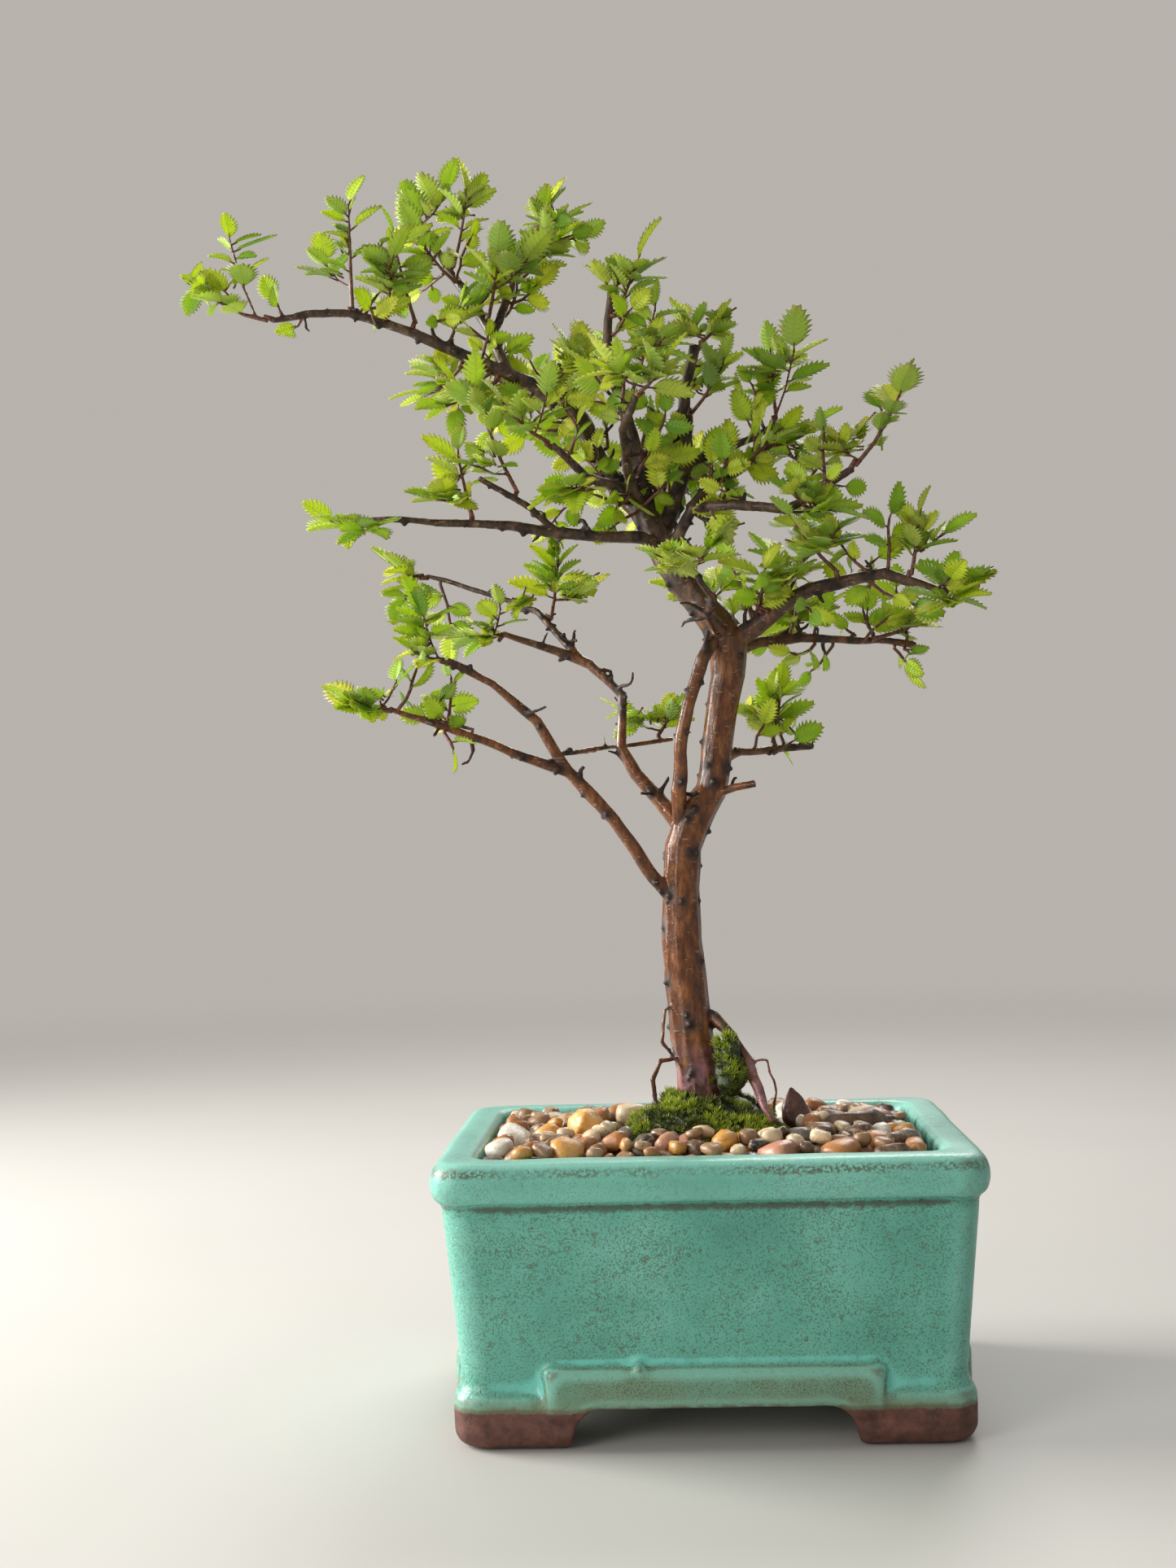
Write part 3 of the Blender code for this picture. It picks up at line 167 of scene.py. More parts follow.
def apply_modifier(thing, kind, **settings):
    """Runs one modifier on the active object and keeps its result."""
    step = thing.modifiers.new(kind.lower(), kind)
    for name, value in settings.items():
        setattr(step, name, value)
    bpy.ops.object.modifier_apply(modifier=step.name)


def bevelled_block(size, bevel, segments):
    """A block at the origin with rounded edges."""
    bpy.ops.mesh.primitive_cube_add(size=1.0, location=(0.0, 0.0, 0.0))
    block = bpy.context.object
    block.scale = size
    bpy.ops.object.transform_apply(location=False, rotation=False, scale=True)
    bpy.ops.object.mode_set(mode="EDIT")
    bpy.ops.mesh.select_all(action="SELECT")
    bpy.ops.mesh.bevel(offset=bevel, segments=segments, affect="EDGES")
    bpy.ops.object.mode_set(mode="OBJECT")
    return block


def points_and_normals(mesh):
    """A mesh's vertex places and normals, one row each."""
    rows = []
    for what in ("co", "normal"):
        values = np.empty(len(mesh.vertices) * 3)
        mesh.vertices.foreach_get(what, values)
        rows.append(values.reshape(-1, 3))
    return rows


def carry(mesh, name, values):
    """Stores one number or one vector for each point of a mesh, for its material to read."""
    kind, field = ("FLOAT_VECTOR", "vector") if values.ndim == 2 else ("FLOAT", "value")
    attribute = mesh.attributes.new(name, kind, "POINT")
    attribute.data.foreach_set(field, values.ravel().astype(np.float32))


bpy.ops.mesh.primitive_plane_add(size=1.0, location=foot)
pot = bpy.context.object
pot.name = "glazed_pot"
first_inset = WALL_STEPS[0][0] * MM
pot.scale = (RIM_LENGTH - 2 * first_inset, RIM_DEPTH - 2 * first_inset, 1.0)
bpy.ops.object.transform_apply(location=False, rotation=False, scale=True)
bpy.ops.object.mode_set(mode="EDIT")
bpy.ops.mesh.select_all(action="SELECT")
bpy.ops.mesh.bevel(offset=0.0075, segments=10, affect="VERTICES")
previous = WALL_STEPS[0]
for inset, height in WALL_STEPS[1:]:
    shrink_x = (RIM_LENGTH - 2 * inset * MM) / (RIM_LENGTH - 2 * previous[0] * MM)
    shrink_y = (RIM_DEPTH - 2 * inset * MM) / (RIM_DEPTH - 2 * previous[0] * MM)
    lift = (height - previous[1]) * MM
    bpy.ops.mesh.extrude_region_move(TRANSFORM_OT_translate={"value": (0.0, 0.0, lift)})
    bpy.ops.transform.resize(value=(shrink_x, shrink_y, 1.0), center_override=foot)
    previous = (inset, height)
bpy.ops.mesh.select_all(action="SELECT")
bpy.ops.mesh.normals_make_consistent(inside=False)
bpy.ops.object.mode_set(mode="OBJECT")

FOOT_INSET, FOOT_WALL, ARCH_TOP = 0.005, 0.011, 0.0115
FRONT_LEG, SIDE_LEG, ARCH_SLOPE = 0.033, 0.029, 0.006
TABLET_TOP, TABLET_OVERLAP, TABLET_DEPTH = 0.0225, 0.008, 0.006
foot_length = RIM_LENGTH - 2 * FOOT_INSET
foot_depth = RIM_DEPTH - 2 * FOOT_INSET
front_span = foot_length - 2 * FRONT_LEG
side_span = foot_depth - 2 * SIDE_LEG
helpers = []
for turn in (0, 90, 180, 270):
    reach, span = (RIM_LENGTH / 2, side_span) if turn % 180 else (RIM_DEPTH / 2, front_span)
    width = span + 2 * TABLET_OVERLAP
    height = TABLET_TOP - ARCH_TOP + 0.004
    face = FOOT_INSET - 0.0013
    tablet = bevelled_block((width, TABLET_DEPTH, height), 0.0024, 4)
    place = Vector((0.0, -reach + face + TABLET_DEPTH / 2, TABLET_TOP - height / 2))
    tablet.matrix_world = (
        Matrix.Translation(foot) @ Matrix.Rotation(math.radians(turn), 4, "Z") @ Matrix.Translation(place)
    )
    helpers.append((tablet, "UNION"))
bpy.ops.mesh.primitive_ico_sphere_add(
    subdivisions=2, radius=0.0016, location=(foot.x - 0.020, pot_low.y + face + 0.001, TABLET_TOP - 0.0004)
)
helpers.append((bpy.context.object, "UNION"))
for turn, span in ((0, front_span), (90, side_span)):
    arch = bevelled_block((span + ARCH_SLOPE, 0.3, 2 * ARCH_TOP), 0.0045, 6)
    for vertex in arch.data.vertices:
        if vertex.co.z > 0.0:
            vertex.co.x -= math.copysign(ARCH_SLOPE * vertex.co.z / ARCH_TOP, vertex.co.x)
    arch.matrix_world = Matrix.Translation(foot) @ Matrix.Rotation(math.radians(turn), 4, "Z")
    helpers.append((arch, "DIFFERENCE"))
bpy.ops.mesh.primitive_cube_add(size=1.0, location=foot)
hollow = bpy.context.object
inner = FOOT_INSET + FOOT_WALL
hollow.scale = (RIM_LENGTH - 2 * inner, RIM_DEPTH - 2 * inner, 2 * ARCH_TOP)
helpers.append((hollow, "DIFFERENCE"))
DRAIN_REACH, DRAIN_RADIUS = 0.5 * (0.076 - 0.0145), 0.007
for side in (-1, 1):
    bpy.ops.mesh.primitive_cylinder_add(
        vertices=32, radius=DRAIN_RADIUS, depth=0.05, location=foot + Vector((side * DRAIN_REACH, 0.0, 0.015))
    )
    helpers.append((bpy.context.object, "DIFFERENCE"))

pick(pot)
for helper, operation in helpers:
    apply_modifier(pot, "BOOLEAN", operation=operation, solver="MANIFOLD", object=helper)
for helper, _ in helpers:
    bpy.data.objects.remove(helper)
apply_modifier(pot, "REMESH", mode="VOXEL", voxel_size=0.00105)
apply_modifier(pot, "SMOOTH", factor=0.5, iterations=4)
bpy.ops.object.transform_apply(location=True, rotation=True, scale=True)

# The wall wanders a little, as a pressed wall does, and each point notes how hollow or proud it is,
# because glaze pools in a hollow and breaks thin on an edge.
mesh = pot.data
points, normals = points_and_normals(mesh)
count = len(points)
edges = np.empty(len(mesh.edges) * 2, dtype=np.int64)
mesh.edges.foreach_get("vertices", edges)
edges = edges.reshape(-1, 2)
degree = np.bincount(edges.ravel(), minlength=count)[:, None]
smooth = points.copy()
for _ in range(12):
    total = np.zeros_like(smooth)
    np.add.at(total, edges[:, 0], smooth[edges[:, 1]])
    np.add.at(total, edges[:, 1], smooth[edges[:, 0]])
    smooth = 0.3 * smooth + 0.7 * total / degree
relief = ((smooth - points) * normals).sum(axis=1) / 0.0006
carry(mesh, "relief", np.clip(0.5 + 0.5 * relief, 0.0, 1.0))
past_ends = np.abs(points[:, 0] - foot.x) - RIM_LENGTH / 2
past_front = np.abs(points[:, 1] - foot.y) - RIM_DEPTH / 2
outward = np.maximum(past_ends, past_front)
proud = (outward > -0.0051) & (points[:, 2] < TABLET_TOP) & (points[:, 2] > ARCH_TOP - 0.001)
carry(mesh, "outward", outward)
carry(mesh, "tablet", proud)
WANDER = 0.00022
swell = np.array([noise.noise(Vector(point) * 55.0) for point in points])
on_table = points[:, 2] < 0.002
swell[on_table] = 0.0
points += normals * (WANDER * swell)[:, None]
mesh.vertices.foreach_set("co", points.ravel())
mesh.update()
bpy.ops.object.shade_smooth()


def ramp_node(tree, factor, stops):
    """A colour ramp through these stops (place, colour), fed by a socket."""
    ramp = tree.nodes.new("ShaderNodeValToRGB")
    elements = ramp.color_ramp.elements
    while len(elements) < len(stops):
        elements.new(0.5)
    for element, (spot, colour) in zip(elements, stops):
        element.position = spot
        element.color = (*colour, 1.0) if len(colour) == 3 else colour
    tree.links.new(factor, ramp.inputs["Fac"])
    return ramp.outputs["Color"]


def mix_node(tree, factor, first, second):
    """Mixes two colours, each a socket or a value."""
    mix = tree.nodes.new("ShaderNodeMix")
    mix.data_type = "RGBA"
    for socket, value in ((mix.inputs[0], factor), (mix.inputs[6], first), (mix.inputs[7], second)):
        if isinstance(value, bpy.types.NodeSocket):
            tree.links.new(value, socket)
        elif isinstance(value, tuple):
            socket.default_value = (*value, 1.0)
        else:
            socket.default_value = value
    return mix.outputs[2]


def noise_node(tree, vector, scale, detail=3.0, roughness=0.5, distortion=0.0):
    """The value of a noise at a scale in cells per metre."""
    cloud = tree.nodes.new("ShaderNodeTexNoise")
    cloud.inputs["Scale"].default_value = scale
    cloud.inputs["Detail"].default_value = detail
    cloud.inputs["Roughness"].default_value = roughness
    cloud.inputs["Distortion"].default_value = distortion
    tree.links.new(vector, cloud.inputs["Vector"])
    return cloud.outputs["Fac"]


def math_node(tree, operation, first, second=0.0, clamp=False):
    """One sum on sockets or values."""
    node = tree.nodes.new("ShaderNodeMath")
    node.operation = operation
    node.use_clamp = clamp
    for socket, value in zip(node.inputs, (first, second)):
        if isinstance(value, bpy.types.NodeSocket):
            tree.links.new(value, socket)
        else:
            socket.default_value = value
    return node.outputs[0]


def times(tree, first, second, clamp=False):
    """The product of two sockets or values."""
    return math_node(tree, "MULTIPLY", first, second, clamp=clamp)


def plus(tree, first, second):
    """The sum of two sockets or values."""
    return math_node(tree, "ADD", first, second)


def step_node(tree, value, low, high, start=0.0, end=1.0):
    """Maps low..high to start..end, smoothly and clamped."""
    node = tree.nodes.new("ShaderNodeMapRange")
    node.interpolation_type = "SMOOTHSTEP"
    tree.links.new(value, node.inputs["Value"])
    node.inputs["From Min"].default_value = low
    node.inputs["From Max"].default_value = high
    node.inputs["To Min"].default_value = start
    node.inputs["To Max"].default_value = end
    return node.outputs["Result"]


def new_finish(name, roughness=0.5, specular=0.5):
    """A material, its tree, its Principled shader and its object coordinates."""
    finish = bpy.data.materials.new(name)
    finish.use_nodes = True
    tree = finish.node_tree
    shader = tree.nodes["Principled BSDF"]
    shader.inputs["Roughness"].default_value = roughness
    shader.inputs["Specular IOR Level"].default_value = specular
    coordinates = tree.nodes.new("ShaderNodeTexCoord").outputs["Object"]
    return finish, tree, shader, coordinates


def feed(tree, value, shader, name):
    """Links a socket to one of the shader's inputs."""
    tree.links.new(value, shader.inputs[name])


def bump_node(tree, shader, height, distance, strength=1.0):
    """Feeds a height, over a distance in metres, to the shader's normal."""
    bump = tree.nodes.new("ShaderNodeBump")
    bump.inputs["Strength"].default_value = strength
    bump.inputs["Distance"].default_value = distance
    tree.links.new(height, bump.inputs["Height"])
    tree.links.new(bump.outputs["Normal"], shader.inputs["Normal"])


def attribute_node(tree, name, output="Fac"):
    """Reads an attribute that a mesh carries."""
    node = tree.nodes.new("ShaderNodeAttribute")
    node.attribute_name = name
    return node.outputs[output]


def part_node(tree, vector, axis):
    """One part, X, Y or Z, of a vector."""
    split = tree.nodes.new("ShaderNodeSeparateXYZ")
    tree.links.new(vector, split.inputs[0])
    return split.outputs[axis]


def effect_group(name, inputs, outputs):
    """A new shader node group with these inputs (name: socket type) and outputs, and its end nodes."""
    group = bpy.data.node_groups.new(name, "ShaderNodeTree")
    for socket, kind in inputs.items():
        group.interface.new_socket(name=socket, in_out="INPUT", socket_type=kind)
    for socket in outputs:
        group.interface.new_socket(name=socket, in_out="OUTPUT", socket_type="NodeSocketFloat")
    return group, group.nodes.new("NodeGroupInput").outputs, group.nodes.new("NodeGroupOutput").inputs


def place_group(tree, group, **values):
    """Places a shared effect in a material, with its inputs linked to sockets or set to numbers."""
    node = tree.nodes.new("ShaderNodeGroup")
    node.node_tree = group
    for name, value in values.items():
        if isinstance(value, bpy.types.NodeSocket):
            tree.links.new(value, node.inputs[name])
        else:
            node.inputs[name].default_value = value
    return node.outputs


def soft_step(group, source, sink, value):
    """Inside a group: a value between its Low and High inputs becomes its Mask output, 0 to End."""
    ramp = group.nodes.new("ShaderNodeMapRange")
    ramp.interpolation_type = "SMOOTHSTEP"
    group.links.new(value, ramp.inputs["Value"])
    group.links.new(source["Low"], ramp.inputs["From Min"])
    group.links.new(source["High"], ramp.inputs["From Max"])
    group.links.new(source["End"], ramp.inputs["To Max"])
    group.links.new(ramp.outputs["Result"], sink["Mask"])


# Two effects that many of the materials use: fine speckle, and an edge that a noise makes ragged.
NUMBER, VECTOR = "NodeSocketFloat", "NodeSocketVector"
SPECKLE_INPUTS = {name: NUMBER for name in ("Scale", "Detail", "Roughness", "Low", "High", "End")}
SPECKLE_INPUTS["Vector"] = VECTOR
speckle_group, source, sink = effect_group("speckle", SPECKLE_INPUTS, ("Mask", "Grain"))
grain = speckle_group.nodes.new("ShaderNodeTexNoise")
for name in ("Vector", "Scale", "Detail", "Roughness"):
    speckle_group.links.new(source[name], grain.inputs[name])
speckle_group.links.new(grain.outputs["Fac"], sink["Grain"])
soft_step(speckle_group, source, sink, grain.outputs["Fac"])

RAGGED_INPUTS = {name: NUMBER for name in ("Value", "Noise", "Amount", "Low", "High", "End")}
ragged_group, source, sink = effect_group("ragged_edge", RAGGED_INPUTS, ("Mask",))
shift = times(ragged_group, source["Noise"], source["Amount"])
soft_step(ragged_group, source, sink, plus(ragged_group, source["Value"], shift))


def speckle(tree, vector, scale, low, high, end=1.0, detail=3.0, roughness=0.5):
    """The mask of a fine speckle, and the bare noise that it comes from."""
    outputs = place_group(
        tree, speckle_group, Vector=vector, Scale=scale, Detail=detail, Roughness=roughness,
        Low=low, High=high, End=end,
    )
    return outputs["Mask"], outputs["Grain"]


def ragged_edge(tree, value, rough, amount, low, high):
    """The mask of a value between two levels, with an edge that a noise moves by an amount."""
    outputs = place_group(
        tree, ragged_group, Value=value, Noise=rough, Amount=amount, Low=low, High=high, End=1.0
    )
    return outputs["Mask"]


glaze, tree, shader, coordinates = new_finish("turquoise_glaze", roughness=0.3)
z = part_node(tree, coordinates, "Z")
relief = attribute_node(tree, "relief")
cloudy = noise_node(tree, coordinates, 28.0, detail=5.0, roughness=0.62)
colour = ramp_node(tree, cloudy, [
    (0.30, (0.075, 0.295, 0.225)),
    (0.52, (0.110, 0.390, 0.300)),
    (0.72, (0.185, 0.505, 0.405)),
])
# iron speckle in the glaze, denser in cloudy patches
fleck = noise_node(tree, coordinates, 2000.0, detail=2.0, roughness=0.6)
patch = noise_node(tree, coordinates, 60.0, detail=3.0)
speck = ragged_edge(tree, fleck, patch, 0.22, 0.61, 0.72)
tablet = attribute_node(tree, "tablet")
thin_glaze = times(tree, tablet, step_node(tree, patch, 0.25, 0.62, 0.45, 0.85))
colour = mix_node(tree, thin_glaze, colour, (0.150, 0.225, 0.130))
colour = mix_node(tree, times(tree, speck, 0.60), colour, (0.050, 0.070, 0.040))
coarse = noise_node(tree, coordinates, 520.0, detail=2.0)
blot = ragged_edge(tree, coarse, patch, 0.15, 0.70, 0.78)
colour = mix_node(tree, times(tree, blot, 0.5), colour, (0.10, 0.085, 0.045))
# thin glaze on edges, pooled glaze and grime in hollows
edge = step_node(tree, relief, 0.46, 0.26)
colour = mix_node(tree, times(tree, edge, 0.50), colour, (0.235, 0.600, 0.495))
ragged = noise_node(tree, coordinates, 260.0, detail=4.0, roughness=0.7)
broken = times(tree, step_node(tree, relief, 0.24, 0.06), step_node(tree, ragged, 0.40, 0.58))
colour = mix_node(tree, times(tree, broken, 0.62), colour, (0.115, 0.095, 0.050))
hollow_mask = ragged_edge(tree, relief, ragged, 0.30, 0.76, 0.93)
pooled = mix_node(tree, step_node(tree, z, 0.035, 0.055), (0.160, 0.560, 0.470), (0.045, 0.048, 0.028))
colour = mix_node(tree, times(tree, hollow_mask, 0.82), colour, pooled)
# a broken brown band along the rim's outer top edge, a painted highlight that lightens the rim's top, and the
# lowest band of glaze
ragged_z = plus(tree, z, times(tree, ragged, 0.0030))
band = times(tree, step_node(tree, ragged_z, 0.0750, 0.0762), step_node(tree, ragged_z, 0.0785, 0.0772))
outer = times(tree, band, step_node(tree, attribute_node(tree, "outward"), -0.0040, -0.0022))
grit = speckle(tree, coordinates, 1100.0, 0.42, 0.56, roughness=0.7)[0]
worn = times(tree, outer, step_node(tree, cloudy, 0.35, 0.60, 0.35, 1.0))
colour = mix_node(tree, times(tree, worn, times(tree, grit, 0.85)), colour, (0.085, 0.080, 0.042))
# painted highlight: the band along the rim's top is painted a lighter turquoise, as if it catches the light
top = step_node(tree, z, RIM_TOP - 0.0022, RIM_TOP - 0.0008)
colour = mix_node(tree, times(tree, top, 0.45), colour, (0.290, 0.590, 0.500))
low_band = ragged_edge(tree, z, ragged, 0.008, 0.0215, 0.0155)
colour = mix_node(tree, times(tree, low_band, 0.45), colour, (0.16, 0.20, 0.115))
# bare clay below a ragged glaze line
bare = ragged_edge(tree, z, ragged, -0.0022, 0.0098, 0.0091)
baked = noise_node(tree, coordinates, 240.0, detail=5.0, roughness=0.65)
clay = ramp_node(tree, baked, [
    (0.35, (0.060, 0.022, 0.015)),
    (0.55, (0.115, 0.043, 0.030)),
    (0.75, (0.175, 0.075, 0.055)),
])
rust = ragged_edge(tree, z, ragged, -0.0022, 0.0112, 0.0100)
colour = mix_node(tree, times(tree, rust, 0.75), colour, (0.11, 0.085, 0.04))
colour = mix_node(tree, bare, colour, clay)
feed(tree, colour, shader, "Base Color")
gloss = step_node(tree, cloudy, 0.3, 0.7, 0.24, 0.40)
gloss = plus(tree, gloss, times(tree, speck, 0.12))
gloss = plus(tree, gloss, times(tree, bare, 0.22))
feed(tree, gloss, shader, "Roughness")
pits = speckle(tree, coordinates, 800.0, 0.34, 0.24, detail=2.0)[0]
skin = noise_node(tree, coordinates, 420.0, detail=4.0, roughness=0.6)
skin = plus(tree, skin, times(tree, pits, -0.9))
bump_node(tree, shader, skin, 0.00022, 0.8)
mesh.materials.clear()
mesh.materials.append(glaze)
mesh.polygons.foreach_set("material_index", np.zeros(len(mesh.polygons), dtype=np.int32))
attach(pot, "root")
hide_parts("pot")


# Drainage
# Two squares of plastic screen lie over the drain holes, and a thin pale wire under the floor ties the
# tree's root ball down through them.



def dress(name, finish):
    """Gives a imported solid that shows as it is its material."""
    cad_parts[name].data.materials.clear()
    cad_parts[name].data.materials.append(finish)


screen, tree, shader, coordinates = new_finish("drain_screen", roughness=0.5)
weave = noise_node(tree, coordinates, 1500.0, detail=3.0)
colour = ramp_node(tree, weave, [(0.3, (0.012, 0.013, 0.013)), (0.7, (0.045, 0.046, 0.044))])
feed(tree, colour, shader, "Base Color")
bump_node(tree, shader, weave, 0.0002, 0.5)
for name in ("drain_mesh_left", "drain_mesh_right"):
    dress(name, screen)

wire, tree, shader, coordinates = new_finish("pale_wire", roughness=0.35)
shader.inputs["Metallic"].default_value = 0.9
tarnish = noise_node(tree, coordinates, 700.0, detail=4.0)
colour = ramp_node(tree, tarnish, [(0.35, (0.42, 0.38, 0.32)), (0.65, (0.78, 0.76, 0.72))])
feed(tree, colour, shader, "Base Color")
dress("tie_wire", wire)


# Soil
# A dark, damp, crumbly mix fills the pot to below its rim. It shows only in the gaps round the moss.

dirt, tree, shader, coordinates = new_finish("damp_soil", roughness=0.8)
crumb = noise_node(tree, coordinates, 900.0, detail=6.0, roughness=0.7)
clotted, clod = speckle(tree, coordinates, 260.0, 0.5, 0.7, end=0.5)
colour = ramp_node(tree, crumb, [
    (0.35, (0.010, 0.006, 0.004)),
    (0.55, (0.040, 0.023, 0.014)),
    (0.75, (0.105, 0.060, 0.036)),
])
colour = mix_node(tree, clotted, colour, (0.016, 0.010, 0.007))
feed(tree, colour, shader, "Base Color")
feed(tree, step_node(tree, clod, 0.35, 0.65, 0.45, 0.9), shader, "Roughness")
bump_node(tree, shader, plus(tree, crumb, clod), 0.0008, 1.0)
dress("soil", dirt)


# Larger stones
# Three rocks sit among the pebbles: a red-brown wedge behind the root, a flat brown slab and an
# orange lump. Each keeps its packed place, is rounded by a fine remesh and worn uneven.

def rounded_copy(name, copy_name, voxel, swell, cells, seed):
    """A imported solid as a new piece, rounded by a fine remesh and worn uneven."""
    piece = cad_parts[name].copy()
    piece.data = piece.data.copy()
    piece.name = copy_name
    piece.data.materials.clear()
    scene.collection.objects.link(piece)
    pick(piece)
    apply_modifier(piece, "REMESH", mode="VOXEL", voxel_size=voxel)
    apply_modifier(piece, "SMOOTH", factor=0.5, iterations=5)
    shift = Vector((seed * 3.1, seed * 1.7, seed * 0.9))
    normals = [vertex.normal.copy() for vertex in piece.data.vertices]
    for vertex, normal in zip(piece.data.vertices, normals):
        lump = noise.noise(vertex.co * cells + shift) + 0.4 * noise.noise(vertex.co * cells * 2.7 + shift)
        vertex.co += normal * lump * swell
    piece.data.update()
    bpy.ops.object.shade_smooth()
    return piece


STONES = {  # dark, middle and light tone of each rock
    "stone_red_brown": ((0.060, 0.024, 0.018), (0.150, 0.062, 0.044), (0.26, 0.13, 0.10)),
    "stone_slab": ((0.045, 0.024, 0.014), (0.120, 0.068, 0.040), (0.24, 0.15, 0.09)),
    "stone_orange": ((0.48, 0.20, 0.045), (0.72, 0.38, 0.10), (0.85, 0.60, 0.28)),
}
WEDGE_PEAK = 0.26
WEDGE_TAPER = 0.80
for seed, (name, (dark, middle, light)) in enumerate(STONES.items()):
    rock, tree, shader, coordinates = new_finish("rock_" + name.split("_", 1)[1], roughness=0.35)
    cloud = noise_node(tree, coordinates, 240.0, detail=6.0, roughness=0.65)
    specked, speck = speckle(tree, coordinates, 1700.0, 0.62, 0.70, end=0.6, detail=2.0)
    colour = ramp_node(tree, cloud, [(0.32, dark), (0.52, middle), (0.72, light)])
    colour = mix_node(tree, specked, colour, dark)
    feed(tree, colour, shader, "Base Color")
    feed(tree, step_node(tree, cloud, 0.35, 0.7, 0.25, 0.5), shader, "Roughness")
    bump_node(tree, shader, plus(tree, cloud, times(tree, speck, 0.3)), 0.0004, 0.8)
    piece = rounded_copy(name, "worn_" + name, 0.00045, 0.00120, 130.0, seed + 1.0)
    if name == "stone_red_brown":
        low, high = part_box(name)
        peak = low.lerp(high, 0.5)
        peak.x = low.x + WEDGE_PEAK * (high.x - low.x)
        for vertex in piece.data.vertices:
            rise = unit((vertex.co.z - low.z) / (high.z - low.z))
            taper = 1 - WEDGE_TAPER * rise ** 1.3
            vertex.co.x = peak.x + (vertex.co.x - peak.x) * taper
            vertex.co.y = peak.y + (vertex.co.y - peak.y) * taper
        piece.data.update()
    piece.data.materials.append(rock)
    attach(piece, "root")
    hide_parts(name)


# Pebbles
# Wet river pebbles cover the soil up to the rim. They are dropped one by one on a height map of the
# bed, each settling in the lowest of a few places, so that they lie packed and touching.

CELL = 0.0006
BED_TOP_BAND = 0.012
bed_low, bed_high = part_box("gravel_bed")


def skin_of(thing):
    """The surface of an object, for rays and nearest places."""
    places = [vertex.co for vertex in thing.data.vertices]
    return BVHTree.FromPolygons(places, [face.vertices for face in thing.data.polygons])


bed_top = skin_of(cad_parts["gravel_bed"])
rocks_top = [skin_of(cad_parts[name]) for name in STONES]
across_cells = int((bed_high.x - bed_low.x) / CELL)
deep_cells = int((bed_high.y - bed_low.y) / CELL)
target = np.full((across_cells, deep_cells), np.nan)
down = Vector((0.0, 0.0, -1.0))


def cell_middle(column, row, z):
    """The middle of one cell of the height map, at a height."""
    return Vector((bed_low.x + (column + 0.5) * CELL, bed_low.y + (row + 0.5) * CELL, z))


for column in range(across_cells):
    for row in range(deep_cells):
        eye = cell_middle(column, row, bed_high.z + 0.02)
        hit = bed_top.ray_cast(eye, down)[0]
        under_rock = any(rock.ray_cast(eye, down)[0] is not None for rock in rocks_top)
        if hit is not None and hit.z > bed_high.z - BED_TOP_BAND and not under_rock:
            target[column, row] = hit.z
BED_DEPTH, PROUD = 0.0070, 0.0044
WALL = 1.0
MOST_PEBBLES, PATIENCE, PLACES_TRIED = 1300, 60, 14
height = np.where(np.isnan(target), WALL, target - BED_DEPTH)
PEBBLE_COLOURS = [  # how common a colour is, and the colour
    (0.19, (0.30, 0.165, 0.078)),
    (0.20, (0.38, 0.145, 0.040)),
    (0.12, (0.66, 0.315, 0.060)),
    (0.11, (0.74, 0.58, 0.37)),
    (0.06, (0.86, 0.81, 0.70)),
    (0.10, (0.135, 0.115, 0.095)),
    (0.09, (0.022, 0.020, 0.019)),
    (0.08, (0.46, 0.205, 0.130)),
    (0.10, (0.095, 0.048, 0.026)),
]
rng = random.Random("pebbles")
settled = []
misses = 0
while misses < PATIENCE and len(settled) < MOST_PEBBLES:
    longest = rng.uniform(0.0042, 0.0064) if rng.random() < 0.72 else rng.uniform(0.0024, 0.0040)
    radii = (longest, longest * rng.uniform(0.66, 0.95), longest * rng.uniform(0.50, 0.80))
    yaw = rng.uniform(0.0, math.pi)
    reach = int(longest / CELL) + 1
    steps = np.arange(-reach, reach + 1) * CELL
    over_x, over_y = np.meshgrid(steps, steps, indexing="ij")
    turned_x = (over_x * math.cos(yaw) + over_y * math.sin(yaw)) / radii[0]
    turned_y = (-over_x * math.sin(yaw) + over_y * math.cos(yaw)) / radii[1]
    spread = 1.0 - turned_x ** 2 - turned_y ** 2
    covered = spread > 0.0
    dome = radii[2] * np.sqrt(np.where(covered, spread, 0.0))
    best = None
    for _ in range(PLACES_TRIED):
        column = rng.randrange(reach, across_cells - reach - 1)
        row = rng.randrange(reach, deep_cells - reach - 1)
        window = (slice(column - reach, column + reach + 1), slice(row - reach, row + reach + 1))
        under = height[window]
        if np.any(under[covered] > WALL - 0.1):
            continue
        level = float((under + dome)[covered].max())
        if level + radii[2] > target[column, row] + PROUD:
            continue
        if best is None or level - target[column, row] < best[0]:
            best = (level - target[column, row], level, column, row, window)
    if best is None:
        misses += 1
        continue
    misses = 0
    _, level, column, row, window = best
    height[window] = np.where(covered, np.maximum(height[window], level + dome), height[window])
    settled.append((cell_middle(column, row, level), radii, yaw))


